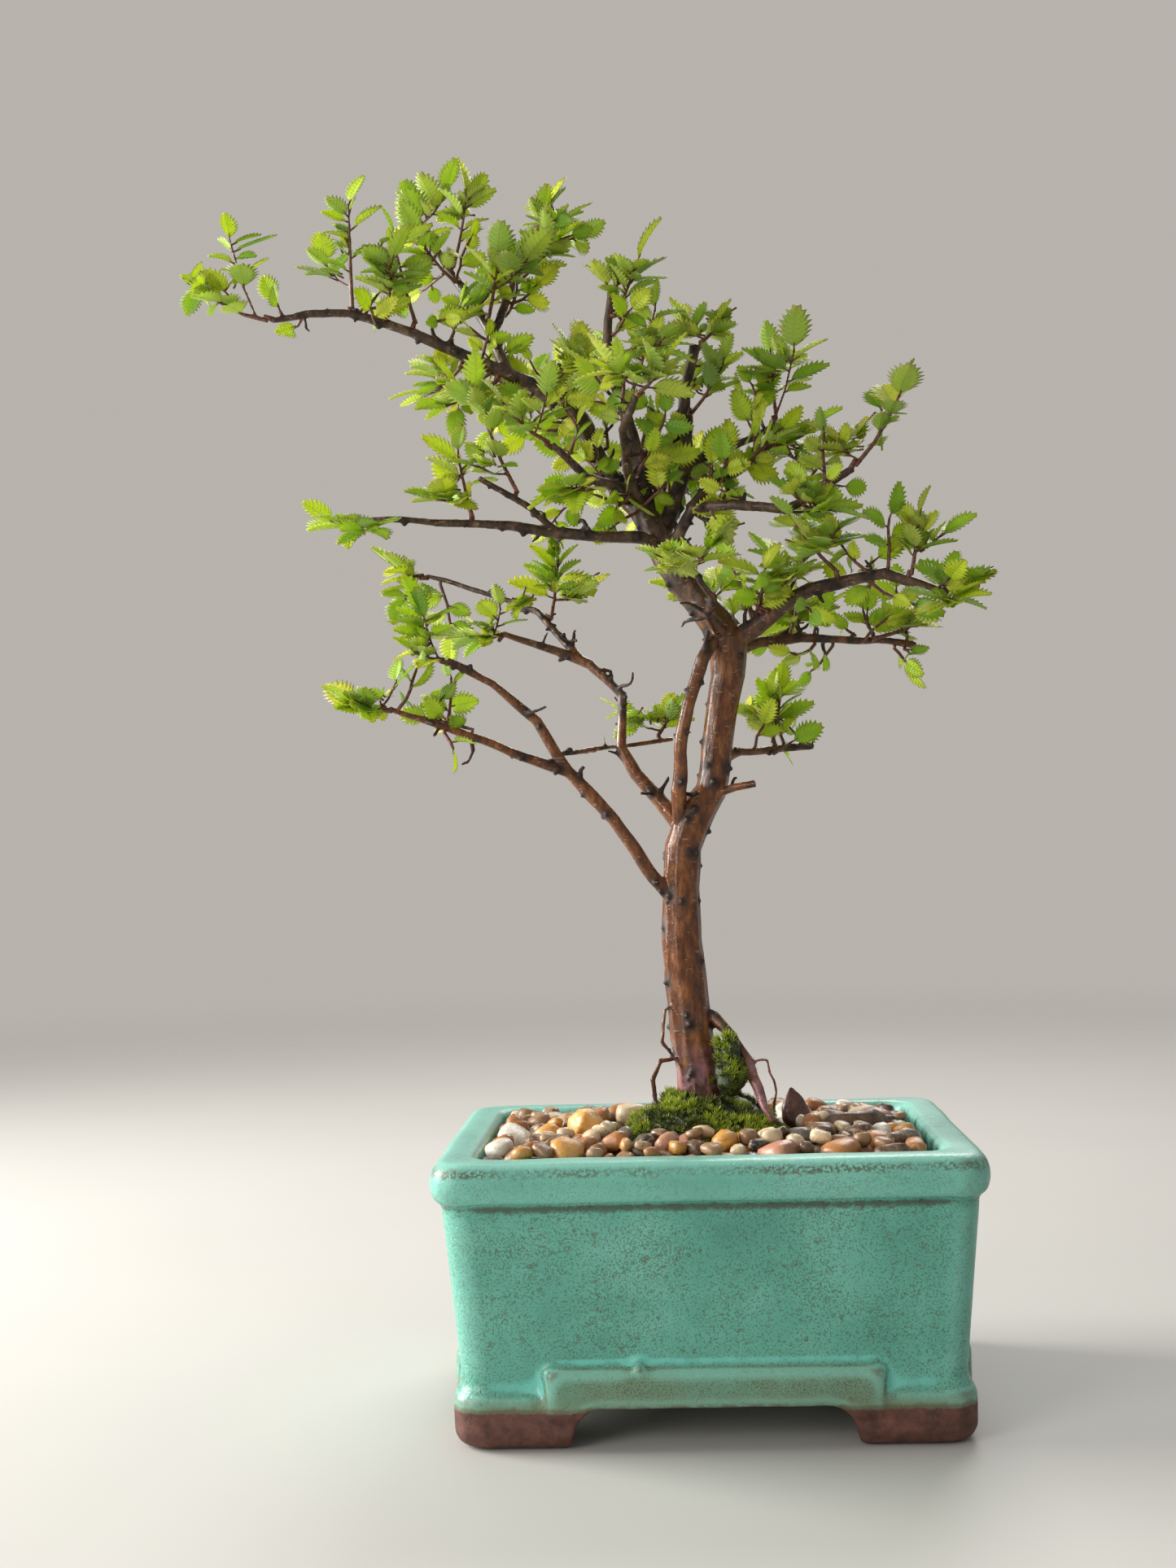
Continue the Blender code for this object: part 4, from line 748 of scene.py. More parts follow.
def pebble_shape(seed):
    """A rounded, slightly lumpy unit stone of a few dozen faces."""
    mesh = bmesh.new()
    bmesh.ops.create_cube(mesh, size=2.0)
    bmesh.ops.subdivide_edges(mesh, edges=mesh.edges, cuts=2, use_grid_fill=True)
    shape = random.Random(seed)
    squareness = shape.uniform(0.0, 0.35)
    lean = Vector((shape.uniform(-0.2, 0.2), shape.uniform(-0.2, 0.2), 0.0))
    shift = Vector((shape.random(), shape.random(), shape.random())) * 20
    for vertex in mesh.verts:
        round_place = vertex.co.normalized()
        place = round_place.lerp(vertex.co * 0.86, squareness)
        place *= 1.0 + 0.16 * noise.noise(round_place * 1.6 + shift)
        place.x *= 1.0 + lean.x * place.y
        place.y *= 1.0 + lean.y * place.x
        vertex.co = place
    points = np.array([tuple(vertex.co) for vertex in mesh.verts])
    faces = np.array([[vertex.index for vertex in face.verts] for face in mesh.faces])
    mesh.free()
    return points, faces


shapes = [pebble_shape(seed) for seed in range(14)]
pebble_shares, pebble_tones = zip(*PEBBLE_COLOURS)
points, faces, tones, kinds = [], [], [], []
for spot, radii, yaw in settled:
    shape_points, shape_faces = rng.choice(shapes)
    roll = Matrix.Rotation(rng.gauss(0.0, 0.28), 3, "X") @ Matrix.Rotation(rng.gauss(0.0, 0.28), 3, "Y")
    turn = np.array(roll @ Matrix.Rotation(yaw, 3, "Z"))
    placed = (shape_points * np.array(radii) * 1.04) @ turn.T + np.array(spot)
    faces.append(shape_faces + len(points) * len(shape_points))
    points.append(placed)
    colour = Vector(rng.choices(pebble_tones, weights=pebble_shares)[0])
    colour *= rng.uniform(0.78, 1.2)
    tones.append(np.tile(np.array(colour), (len(placed), 1)))
    kinds.append(np.full(len(placed), rng.random()))
mesh = bpy.data.meshes.new("river_pebbles")
mesh.from_pydata(np.concatenate(points).tolist(), [], np.concatenate(faces).tolist())
carry(mesh, "tone", np.concatenate(tones))
carry(mesh, "kind", np.concatenate(kinds))
mesh.polygons.foreach_set("use_smooth", np.ones(len(mesh.polygons), dtype=bool))
pebbles = bpy.data.objects.new("river_pebbles", mesh)
scene.collection.objects.link(pebbles)

stone, tree, shader, coordinates = new_finish("wet_pebble", roughness=0.3)
tone = tree.nodes.new("ShaderNodeAttribute")
tone.attribute_name = "tone"
kind = attribute_node(tree, "kind")
moved = tree.nodes.new("ShaderNodeVectorMath")
moved.operation = "SCALE"
tree.links.new(coordinates, moved.inputs[0])
tree.links.new(plus(tree, kind, 0.6), moved.inputs["Scale"])
cloud = noise_node(tree, moved.outputs["Vector"], 420.0, detail=5.0, roughness=0.65)
band = noise_node(tree, moved.outputs["Vector"], 160.0, detail=2.0, distortion=1.4)
specked, speck = speckle(tree, coordinates, 2300.0, 0.60, 0.68, end=0.4, detail=2.0)
clouded = step_node(tree, cloud, 0.38, 0.72, 0.0, 0.55)
colour = mix_node(tree, clouded, tone.outputs["Vector"], (0.30, 0.20, 0.12))
streaky = times(tree, step_node(tree, band, 0.52, 0.60), step_node(tree, kind, 0.5, 0.8, 0.0, 0.7))
colour = mix_node(tree, streaky, colour, (0.52, 0.36, 0.21))
stained = times(tree, step_node(tree, band, 0.46, 0.34), step_node(tree, kind, 0.45, 0.1, 0.0, 0.65))
colour = mix_node(tree, stained, colour, (0.19, 0.075, 0.025))
colour = mix_node(tree, specked, colour, (0.06, 0.04, 0.03))
feed(tree, colour, shader, "Base Color")
feed(tree, step_node(tree, cloud, 0.35, 0.65, 0.20, 0.42), shader, "Roughness")
bump_node(tree, shader, plus(tree, cloud, times(tree, speck, 0.4)), 0.00025, 0.8)
mesh.materials.append(stone)
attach(pebbles, "root")
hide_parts("gravel_bed")


# Moss
# A low cushion of star moss grows round the foot of the trunk and up its right root. The cushion is dark
# underneath, partly the colour of old stems and partly painted shade inside the cushion, and every small stem
# on it ends in a star of pointed yellow-green leaves.

moss_finish, tree, shader, coordinates = new_finish("star_moss", roughness=0.5)
reach_up = attribute_node(tree, "reach")
shade = attribute_node(tree, "shade")
fresh, fine = speckle(tree, coordinates, 1400.0, 0.45, 0.75, end=0.4)
# colour by height along each stem: the near-black mat and stem bases are partly old stems and partly painted
# shade inside the cushion
base = ramp_node(tree, reach_up, [
    (0.0, (0.005, 0.006, 0.003)),
    (0.30, (0.028, 0.048, 0.007)),
    (0.60, (0.260, 0.380, 0.024)),
    (1.0, (0.760, 0.820, 0.060)),
])
colour = mix_node(tree, times(tree, shade, 0.85), base, (0.018, 0.026, 0.008))
colour = mix_node(tree, fresh, colour, (0.200, 0.280, 0.030))
feed(tree, colour, shader, "Base Color")
bump_node(tree, shader, fine, 0.0003, 0.6)

STAR_BLADES = 6
BLADE_HALF, BLADE_ROOT = 0.00022, 0.0007
BLADE_FACES = ((0, 1, 2), (0, 2, 3), (1, 3, 2), (0, 3, 1))
BARE_PATCH = 0.30
TRUNK_FOOT = 0.007
MOSS_SLOPE = 0.016
MOSS_CLIMB = 0.011
MOSS_GIVE = 0.45


def moss_piece(source, name, spacing, voxel, flatten=None):
    """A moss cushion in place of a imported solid: a rough dark mat covered with small leafy stars."""
    mat = rounded_copy(source, name, voxel, 0.0016, 150.0, 4.0)
    ground = mat.data
    if flatten:
        for vertex in ground.vertices:
            off_trunk = math.hypot(vertex.co.x - pot_middle.x, vertex.co.y - pot_middle.y)
            cone = 1 - unit((off_trunk - TRUNK_FOOT) / MOSS_SLOPE)
            level = flatten + MOSS_CLIMB * cone
            if vertex.co.z > level:
                vertex.co.z = level + MOSS_GIVE * (vertex.co.z - level)
    ground.update()
    rng = random.Random(name)
    top = [face for face in ground.polygons if face.normal.z > -0.2]
    area = sum(face.area for face in top)
    seats = rng.choices(top, weights=[face.area for face in top], k=int(area / spacing ** 2))
    points = [tuple(vertex.co) for vertex in ground.vertices]
    faces = [list(face.vertices) for face in ground.polygons]
    reach = [0.12] * len(points)
    shade = [0.6] * len(points)
    for seat in seats:
        foot_at = Vector(seat.center)
        patch = 0.5 + 0.8 * noise.noise(foot_at * 170.0)
        if patch < BARE_PATCH:
            continue
        up = (seat.normal + Vector((rng.gauss(0, 0.3), rng.gauss(0, 0.3), 0.7))).normalized()
        side = up.orthogonal().normalized()
        other = up.cross(side)
        tall = rng.uniform(0.0012, 0.0030) * (0.35 + 0.95 * patch)
        # how much painted shade a star gets, more in sparse patches; it is stored in the shade attribute
        dull = min(1.0, 0.40 * rng.random() + min(max(2.3 - 3.3 * patch, 0.0), 0.95))
        head = foot_at + up * tall
        start = rng.uniform(0, math.pi)
        for blade in range(STAR_BLADES):
            angle = start + 2 * math.pi * blade / STAR_BLADES
            out = side * math.cos(angle) + other * math.sin(angle)
            across_blade = up.cross(out) * BLADE_HALF
            low = head - up * tall * 0.55
            end = head + out * rng.uniform(0.0007, 0.0014) + up * rng.uniform(0.0, 0.0008)
            index = len(points)
            root = low - up * BLADE_ROOT
            points.extend(tuple(spot) for spot in (low + across_blade, low - across_blade, end, root))
            faces.extend([index + corner for corner in face] for face in BLADE_FACES)
            reach.extend([0.45, 0.45, 1.0, 0.1])
            shade.extend([dull] * 4)
    mesh = bpy.data.meshes.new(name)
    mesh.from_pydata(points, [], faces)
    carry(mesh, "reach", np.array(reach))
    carry(mesh, "shade", np.array(shade))
    mesh.materials.append(moss_finish)
    mat.data = mesh
    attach(mat, "root")
    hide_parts(source)


moss_piece("moss_mound", "moss_cushion", 0.00100, 0.0006, flatten=RIM_TOP + 0.0015)
moss_piece("moss_on_root", "moss_collar", 0.00100, 0.0005)


# Trunk and branches
# One grown piece: the flared base, the trunk, its second stem, the branches and the roots that show.
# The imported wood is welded, set with bud scars and dead stubs, rounded by a fine remesh and given bark.

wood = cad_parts["trunk_and_branches"].copy()
wood.data = wood.data.copy()
wood.name = "living_wood"
scene.collection.objects.link(wood)
wood.data.materials.clear()
THIN_TWIG, TWIG_GAIN = 0.0016, 0.00016
SCARS, SCAR_SIZES, SCAR_HEIGHT, ROUND_SCAR = 260, (0.0005, 0.00125), 0.012, 0.0008
BARE_SPURS, SPUR_SIDES, LOWEST_SPUR = 95, 6, 0.150
BRANCH_THICK = 0.0062
SPUR_DEPTH, SPUR_THICKEST = 0.0006, 0.00085


def stray(rng, sideways, upward, rise=0.0):
    """A random lean, with its own spread and mean upwards."""
    return Vector((rng.gauss(0, sideways), rng.gauss(0, sideways), rng.gauss(rise, upward)))


def thicken_twigs(mesh):
    """Push the skin of the thinnest twigs out a little, so that the remesh keeps them."""
    slender = BVHTree.FromBMesh(mesh)
    for vertex in mesh.verts:
        through = slender.ray_cast(vertex.co - vertex.normal * 0.00005, -vertex.normal)[3]
        if through is not None and through < THIN_TWIG:
            vertex.co += vertex.normal * TWIG_GAIN


def scar_seats(mesh, areas, rng):
    """Where bud scars sit on the bark, as place, normal and size."""
    seats = []
    for face in rng.choices(list(mesh.faces), weights=areas, k=SCARS):
        spot = face.calc_center_median()
        spread = rng.choice(face.verts).co
        spot = spot.lerp(spread, rng.uniform(0.0, 0.8))
        if spot.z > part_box("soil")[1].z + SCAR_HEIGHT:
            seats.append((spot, face.normal.copy(), rng.uniform(*SCAR_SIZES)))
    return seats


def spur_seats(mesh, areas, rng):
    """Where dead spurs grow from thin branches, as place, normal and the branch's thickness."""
    skin = BVHTree.FromBMesh(mesh)
    seats = []
    while len(seats) < BARE_SPURS:
        face = rng.choices(list(mesh.faces), weights=areas)[0]
        spot = face.calc_center_median().lerp(rng.choice(face.verts).co, rng.uniform(0.0, 0.7))
        through = skin.ray_cast(spot - face.normal * 0.0002, -face.normal)[3]
        if through is not None and through < BRANCH_THICK and spot.z > LOWEST_SPUR:
            seats.append((spot, face.normal.copy(), through))
    return seats


def set_scar(mesh, spot, normal, size, rng):
    """One bud scar: a small lump, longer outwards than it is wide."""
    turn = normal.to_track_quat("Z", "Y").to_matrix().to_4x4()
    long = rng.uniform(1.2, 2.6) if size < ROUND_SCAR else rng.uniform(1.0, 1.6)
    scale = Matrix.Diagonal((size, size, size * long, 1.0))
    placed = Matrix.Translation(spot) @ turn @ scale
    bmesh.ops.create_icosphere(mesh, subdivisions=1, radius=1.0, matrix=placed)


def grow_spur(mesh, spot, normal, thick, rng):
    """One crooked dead spur, as a closed tube. Gives back its places and its radius at each."""
    ahead = (normal + stray(rng, 0.35, 0.35, rise=0.25)).normalized()
    path = [spot - normal * SPUR_DEPTH]
    for step in range(rng.choice((2, 3, 3, 4, 5))):
        ahead = (ahead + stray(rng, 0.4, 0.4, rise=0.05)).normalized()
        path.append(path[-1] + ahead * rng.uniform(0.0011, 0.0026))
    thickest = min(SPUR_THICKEST, 0.32 * thick)
    radii = [
        thickest * (1 - 0.45 * step / len(path)) * rng.uniform(0.9, 1.15) for step in range(len(path))
    ]
    side = ahead.orthogonal().normalized()
    rings = []
    for index, place in enumerate(path):
        along_path = (path[min(index + 1, len(path) - 1)] - path[max(index - 1, 0)]).normalized()
        side = along_path.cross(side.cross(along_path)).normalized()
        other = along_path.cross(side)
        ring = []
        for step in range(SPUR_SIDES):
            angle = 2 * math.pi * step / SPUR_SIDES
            out = math.cos(angle) * side + math.sin(angle) * other
            ring.append(mesh.verts.new(place + radii[index] * out))
        rings.append(ring)
    for first, second in zip(rings, rings[1:]):
        for step in range(SPUR_SIDES):
            after = (step + 1) % SPUR_SIDES
            mesh.faces.new((first[step], first[after], second[after], second[step]))
    mesh.faces.new(rings[0][::-1])
    mesh.faces.new(rings[-1])
    return list(zip(path, radii))


mesh = bmesh.new()
mesh.from_mesh(wood.data)
bmesh.ops.remove_doubles(mesh, verts=mesh.verts, dist=0.00002)
mesh.normal_update()
thicken_twigs(mesh)
mesh.faces.ensure_lookup_table()
rng = random.Random("scars")
areas = [face.calc_area() for face in mesh.faces]
scars = scar_seats(mesh, areas, rng)
seats = spur_seats(mesh, areas, rng)
for spot, normal, size in scars:
    set_scar(mesh, spot, normal, size, rng)
for spot, normal, thick in seats:
    spur = grow_spur(mesh, spot, normal, thick, rng)
    scars.extend((place, normal, radius) for place, radius in spur)
mesh.to_mesh(wood.data)
mesh.free()
pick(wood)
apply_modifier(wood, "REMESH", mode="VOXEL", voxel_size=0.00042)
apply_modifier(wood, "SMOOTH", factor=0.5, iterations=3)
apply_modifier(wood, "DECIMATE", ratio=0.72)


def knottiness(points, scars):
    """How much each point belongs to a scar or a spur, from 0 to 1."""
    nearby = KDTree(len(scars))
    for index, (spot, _, _) in enumerate(scars):
        nearby.insert(spot, index)
    nearby.balance()
    knot = np.zeros(len(points))
    for index, point in enumerate(points):
        _, nearest, distance = nearby.find(Vector(point))
        size = scars[nearest][2]
        knot[index] = unit((3.2 * size - distance) / (1.8 * size))
    return knot


UPPER_BARK, BARK_CHANGE = 0.225, 0.05
SWELL, FINE_CRACK, COARSE_CRACK = 0.00030, 0.00003, 0.00011
mesh = wood.data
points, normals = points_and_normals(mesh)
push = np.zeros(len(points))
for index, point in enumerate(points):
    place = Vector(point)
    upper = unit((place.z - UPPER_BARK) / BARK_CHANGE)
    swell = noise.noise(Vector((place.x * 90, place.y * 90, place.z * 38)))
    crack = noise.noise(Vector((place.x * 620, place.y * 620, place.z * 300)))
    push[index] = SWELL * swell * (1 - 0.6 * upper) + (FINE_CRACK + COARSE_CRACK * upper) * crack
knot = knottiness(points, scars)
points += normals * push[:, None]
KINK, KINK_CELLS, KINK_SEED = 0.0009, 70.0, 5
KINK_START, KINK_EASE = 0.110, 0.03
ROOT_START, ROOT_EASE = 0.0095, 0.004
noise.seed_set(KINK_SEED)
for index, point in enumerate(points):
    place = Vector(point)
    ease = unit((place.z - KINK_START) / KINK_EASE)
    points[index] += np.array(noise.noise_vector(place * KINK_CELLS)) * KINK * ease
    off_trunk = math.hypot(place.x - pot_middle.x, place.y - pot_middle.y)
    rooty = unit((off_trunk - ROOT_START) / ROOT_EASE) * (1 - ease)
    points[index] += np.array(noise.noise_vector(place * 2.2 * KINK_CELLS)) * 1.5 * KINK * rooty
mesh.vertices.foreach_set("co", points.ravel())
carry(mesh, "knot", knot)
mesh.update()
bpy.ops.object.shade_smooth()

bark, tree, shader, coordinates = new_finish("elm_bark", roughness=0.4)
z = part_node(tree, coordinates, "Z")
stretch = tree.nodes.new("ShaderNodeMapping")
stretch.inputs["Scale"].default_value = (1.0, 1.0, 0.35)
tree.links.new(coordinates, stretch.inputs["Vector"])
fibre = noise_node(tree, stretch.outputs["Vector"], 420.0, detail=6.0, roughness=0.65)
blotch = noise_node(tree, coordinates, 95.0, detail=4.0, roughness=0.6)
young = ramp_node(tree, fibre, [
    (0.30, (0.030, 0.009, 0.003)),
    (0.50, (0.130, 0.040, 0.010)),
    (0.72, (0.330, 0.122, 0.028)),
])
young = mix_node(tree, step_node(tree, blotch, 0.45, 0.75, 0.0, 0.45), young, (0.190, 0.068, 0.020))
old = ramp_node(tree, fibre, [
    (0.34, (0.009, 0.005, 0.003)),
    (0.52, (0.042, 0.025, 0.016)),
    (0.72, (0.160, 0.110, 0.074)),
])
old = mix_node(tree, step_node(tree, blotch, 0.50, 0.72, 0.0, 0.35), old, (0.075, 0.070, 0.030))
age = ragged_edge(tree, z, blotch, 0.05, 0.225, 0.275)
colour = mix_node(tree, times(tree, age, 0.8), young, old)
flat = tree.nodes.new("ShaderNodeMapping")
flat.inputs["Scale"].default_value = (1.0, 1.0, 3.4)
tree.links.new(coordinates, flat.inputs["Vector"])
pore = speckle(tree, flat.outputs["Vector"], 430.0, 0.66, 0.72, detail=1.0)[0]
colour = mix_node(tree, times(tree, pore, 0.55), colour, (0.42, 0.26, 0.17))
damp = step_node(tree, z, 0.112, 0.086)
ground_grime = times(tree, damp, step_node(tree, fibre, 0.62, 0.42))
colour = mix_node(tree, times(tree, ground_grime, 0.7), colour, (0.035, 0.016, 0.012))
bruise = times(tree, step_node(tree, z, 0.106, 0.094), step_node(tree, blotch, 0.42, 0.58, 0.0, 0.7))
colour = mix_node(tree, bruise, colour, (0.360, 0.165, 0.190))
rightward = part_node(tree, coordinates, "X")
right_of_trunk = step_node(tree, rightward, pot_middle.x + 0.0045, pot_middle.x + 0.0080)
left_of_root = step_node(tree, rightward, pot_middle.x + 0.0125, pot_middle.x + 0.0095)
right_of_trunk = times(tree, right_of_trunk, left_of_root)
mossy = times(tree, right_of_trunk, step_node(tree, z, 0.118, 0.108))
mossy = times(tree, mossy, step_node(tree, blotch, 0.44, 0.54))
film = ramp_node(tree, fibre, [
    (0.40, (0.012, 0.016, 0.006)),
    (0.58, (0.060, 0.090, 0.012)),
    (0.74, (0.260, 0.340, 0.030)),
])
colour = mix_node(tree, mossy, colour, film)
dark_knot = attribute_node(tree, "knot")
colour = mix_node(tree, times(tree, dark_knot, 0.86), colour, (0.016, 0.008, 0.006))
feed(tree, colour, shader, "Base Color")
gloss = plus(tree, step_node(tree, fibre, 0.35, 0.7, 0.14, 0.34), times(tree, age, 0.2))
dull = math_node(tree, "MAXIMUM", times(tree, dark_knot, 0.36), times(tree, mossy, 0.6))
gloss = plus(tree, gloss, dull)
feed(tree, gloss, shader, "Roughness")
bump_node(tree, shader, plus(tree, fibre, times(tree, pore, 0.4)), 0.00028, 0.9)
mesh.materials.append(bark)
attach(wood, "root")
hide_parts("trunk_and_branches")


# Leafy shoots
# Each shoot is a thin reddish twig with its leaves. A leaf is a small elm leaf: oval with a saw edge,
# folded along its midrib and curling at the tip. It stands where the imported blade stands.

LEAF_KEEL = 0.0009
LEAF_WIDEST = 0.45
LONG_EDGE = 0.003


def blades_of(mesh):
    """The leaves of a packed shoot: base, direction, upper normal, length, width, and own points."""
    found = []
    for face in mesh.faces:
        for corner in range(3):
            tip, first, second = (face.verts[(corner + turn) % 3] for turn in range(3))
            span = (first.co - second.co).length
            reach = (tip.co - first.co).length
            other = (tip.co - second.co).length
            if span < LONG_EDGE or reach < LONG_EDGE or abs(reach - other) > 0.004 * reach:
                continue
            if min(edge.calc_length() for edge in tip.link_edges) < LONG_EDGE:
                continue
            if any(tip is blade[5] for blade in found):
                continue
            middle = (first.co + second.co) / 2
            rise = tip.co - middle
            ahead = math.sqrt(max(rise.length_squared - LEAF_KEEL ** 2, 1e-12))
            under = -face.normal
            forward = (ahead * rise.normalized() - LEAF_KEEL * under) / rise.length
            upper = (LEAF_KEEL * rise.normalized() + ahead * under) / rise.length
            length = ahead / (1 - LEAF_WIDEST)
            base = tip.co - forward * length
            found.append((base, forward, upper, length, span, tip, first, second))
    return found


LEAF_TEETH = 8
LEAF_COLUMNS = (-1.0, -0.66, -0.30, 0.0, 0.30, 0.66, 1.0)
LEAF_SHELL = 0.00022


def leaf_stations():
    """Rows along a leaf: place along it, half width, and how far the edge reaches ahead of the row."""
    rows = [(0.0, 0.05, 0.0)]
    for tooth in range(LEAF_TEETH):
        for part, swell, ahead in ((0.10, 0.78, 0.0), (0.70, 1.24, 0.075)):
            along = (tooth + part) / LEAF_TEETH
            body = math.sin(math.pi * along ** 0.82) ** 0.62
            rows.append((along, max(body * swell, 0.05), ahead))
    rows.append((1.0, 0.02, 0.0))
    return rows


def leaf_patch(length, width, fold, droop, sway, ripple):
    """The points, faces and UVs of one closed leaf from the origin along +Z, its upper side +Y."""
    stations = leaf_stations()
    last = len(stations) - 1
    points, upper_at, under_at = [], {}, {}
    for row, (along, half, ahead) in enumerate(stations):
        for column, across in enumerate(LEAF_COLUMNS):
            side = abs(across)
            x = across * half * width / 2
            z = (along + ahead * side ** 3) * length
            y = fold * abs(x) - 0.35 * fold * x * x / (width / 2) - droop * along * along * length
            wave = math.sin(math.pi * LEAF_TEETH * (along - 0.06 * side))
            y += ripple * length * wave * side * (1 - 0.4 * side)
            x += sway * along * along * length
            shell = LEAF_SHELL * (0.35 + 0.65 * (1 - side))
            edge = row in (0, last) or side == 1.0
            upper_at[row, column] = len(points)
            points.append((x, y if edge else y + shell / 2, z))
            if edge:
                under_at[row, column] = upper_at[row, column]
            else:
                under_at[row, column] = len(points)
                points.append((x, y - shell / 2, z))
    faces, corners = [], []
    for row in range(last):
        for column in range(len(LEAF_COLUMNS) - 1):
            ring = [(row, column), (row, column + 1), (row + 1, column + 1), (row + 1, column)]
            for where, shift in ((upper_at, 0.0), (under_at, 1.0)):
                loop = ring[::-1] if shift == 0.0 else ring
                faces.append([where[spot] for spot in loop])
                for at_row, at_column in loop:
                    corners.append((shift + 0.5 + 0.48 * LEAF_COLUMNS[at_column], stations[at_row][0]))
    return np.array(points), faces, corners


def stalk_patch(path, radii, sides=6):
    """The points, faces and UVs of a closed round stalk through a path."""
    points, faces = [], []
    side = Vector((1.0, 0.0, 0.0))
    for index, spot in enumerate(path):
        ahead = (path[min(index + 1, len(path) - 1)] - path[max(index - 1, 0)]).normalized()
        side = ahead.cross(Vector((0.31, 0.87, 0.38)).cross(ahead)).normalized()
        other = ahead.cross(side)
        for step in range(sides):
            angle = 2 * math.pi * step / sides
            points.append(spot + radii[index] * (math.cos(angle) * side + math.sin(angle) * other))
    for index in range(len(path) - 1):
        for step in range(sides):
            first, second = index * sides + step, index * sides + (step + 1) % sides
            faces.append([first, second, second + sides, first + sides])
    faces.append(list(range(sides))[::-1])
    faces.append([(len(path) - 1) * sides + step for step in range(sides)])
    return np.array(points), faces, [(0.5, 0.0)] * sum(len(face) for face in faces)


STALK_RADII = (0.00036, 0.00030, 0.00022)


class Shoot:
    """Gathers the leaves, stalks and twigs of one shoot and makes one mesh of them."""

    def __init__(self):
        self.points, self.faces, self.corners, self.kinds, self.tints = [], [], [], [], []
        self.count = 0

    def add(self, patch, kind, tint=(0.5, 0.0, 0.0)):
        points, faces, corners = patch
        self.points.append(points)
        self.faces.extend([vertex + self.count for vertex in face] for face in faces)
        self.corners.extend(corners)
        self.kinds.extend([kind] * len(faces))
        self.tints.append(np.tile(np.array(tint, dtype=np.float32), (len(points), 1)))
        self.count += len(points)

    def leaf(self, base, forward, upper, length, width, rng, blush):
        """A stalk and a blade from a place on a twig."""
        upper = upper + Vector((rng.gauss(0.0, 0.25), rng.gauss(-0.40, 0.35), rng.gauss(0.1, 0.2)))
        upper = (upper - upper.dot(forward) * forward).normalized()
        side = upper.cross(forward)
        turn = Matrix((side, upper, forward))
        stalk = rng.uniform(0.09, 0.16) * length
        blade = length - stalk
        fold, droop = rng.uniform(0.25, 0.55), rng.uniform(0.02, 0.20)
        sway, ripple = rng.uniform(-0.07, 0.07), rng.uniform(0.006, 0.014)
        patch = leaf_patch(blade, width, fold, droop, sway, ripple)
        placed = patch[0] @ np.array(turn) + np.array(base + forward * stalk)
        tint = (rng.random(), blush, rng.random())
        self.add((placed, patch[1], patch[2]), 0, tint)
        path = [base + forward * reach - upper * 0.0001 for reach in (-0.0002, stalk * 0.6, stalk + 0.0012)]
        self.add(stalk_patch(path, STALK_RADII, 5), 1, tint)

    def make(self, name):
        mesh = bpy.data.meshes.new(name)
        mesh.from_pydata(np.concatenate(self.points).tolist(), [], self.faces)
        layer = mesh.uv_layers.new(name="blade")
        layer.data.foreach_set("uv", np.array(self.corners, dtype=np.float32).ravel())
        carry(mesh, "tint", np.concatenate(self.tints))
        mesh.materials.append(leaf_finish)
        mesh.materials.append(twig_finish)
        mesh.polygons.foreach_set("material_index", np.array(self.kinds, dtype=np.int32))
        mesh.polygons.foreach_set("use_smooth", np.ones(len(self.kinds), dtype=bool))
        mesh.update()
        piece = bpy.data.objects.new(name, mesh)
        scene.collection.objects.link(piece)
        return piece


leaf_finish, tree, shader, coordinates = new_finish("elm_leaf", roughness=0.42)
uv = tree.nodes.new("ShaderNodeUVMap")
uv.uv_map = "blade"
split = tree.nodes.new("ShaderNodeSeparateXYZ")
tree.links.new(uv.outputs["UV"], split.inputs["Vector"])
underside = math_node(tree, "GREATER_THAN", split.outputs["X"], 1.0)
across = math_node(tree, "SUBTRACT", math_node(tree, "FRACT", split.outputs["X"]), 0.5)
across = times(tree, across, 2.0)
from_rib = math_node(tree, "ABSOLUTE", across)
along = split.outputs["Y"]
slant = math_node(tree, "SUBTRACT", along, times(tree, from_rib, 0.17))
wave = math_node(tree, "ABSOLUTE", math_node(tree, "SINE", times(tree, slant, math.pi * LEAF_TEETH)))
side_vein = step_node(tree, wave, 0.26, 0.05)
midrib = step_node(tree, from_rib, 0.075, 0.02)
vein = math_node(tree, "MAXIMUM", midrib, times(tree, side_vein, 0.75))
tint = tree.nodes.new("ShaderNodeAttribute")
tint.attribute_name = "tint"
own = tree.nodes.new("ShaderNodeSeparateXYZ")
tree.links.new(tint.outputs["Vector"], own.inputs["Vector"])
mottle = noise_node(tree, coordinates, 520.0, detail=4.0, roughness=0.6)
green = ramp_node(tree, own.outputs["X"], [
    (0.0, (0.110, 0.300, 0.024)),
    (0.22, (0.330, 0.580, 0.038)),
    (0.55, (0.660, 0.800, 0.050)),
    (1.0, (0.900, 0.840, 0.090)),
])
dapple = step_node(tree, mottle, 0.42, 0.72, 0.0, 0.38)
green = mix_node(tree, dapple, green, (0.240, 0.500, 0.030))
green = mix_node(tree, times(tree, vein, 0.45), green, (0.560, 0.700, 0.210))
rim = ragged_edge(tree, from_rib, mottle, 0.35, 0.86, 1.22)
tip = ragged_edge(tree, along, mottle, 0.3, 0.88, 1.25)
burnish = math_node(tree, "MAXIMUM", rim, tip)
spread = times(tree, own.outputs["Y"], plus(tree, times(tree, mottle, 0.55), burnish), clamp=True)
bronze = mix_node(tree, mottle, (0.36, 0.130, 0.055), (0.50, 0.25, 0.105))
green = mix_node(tree, times(tree, burnish, 0.5), green, (0.50, 0.34, 0.070))
colour = mix_node(tree, spread, green, bronze)
pale = mix_node(tree, 0.55, colour, (0.420, 0.520, 0.190))
colour = mix_node(tree, underside, colour, pale)
feed(tree, colour, shader, "Base Color")
feed(tree, step_node(tree, mottle, 0.3, 0.7, 0.27, 0.44), shader, "Roughness")
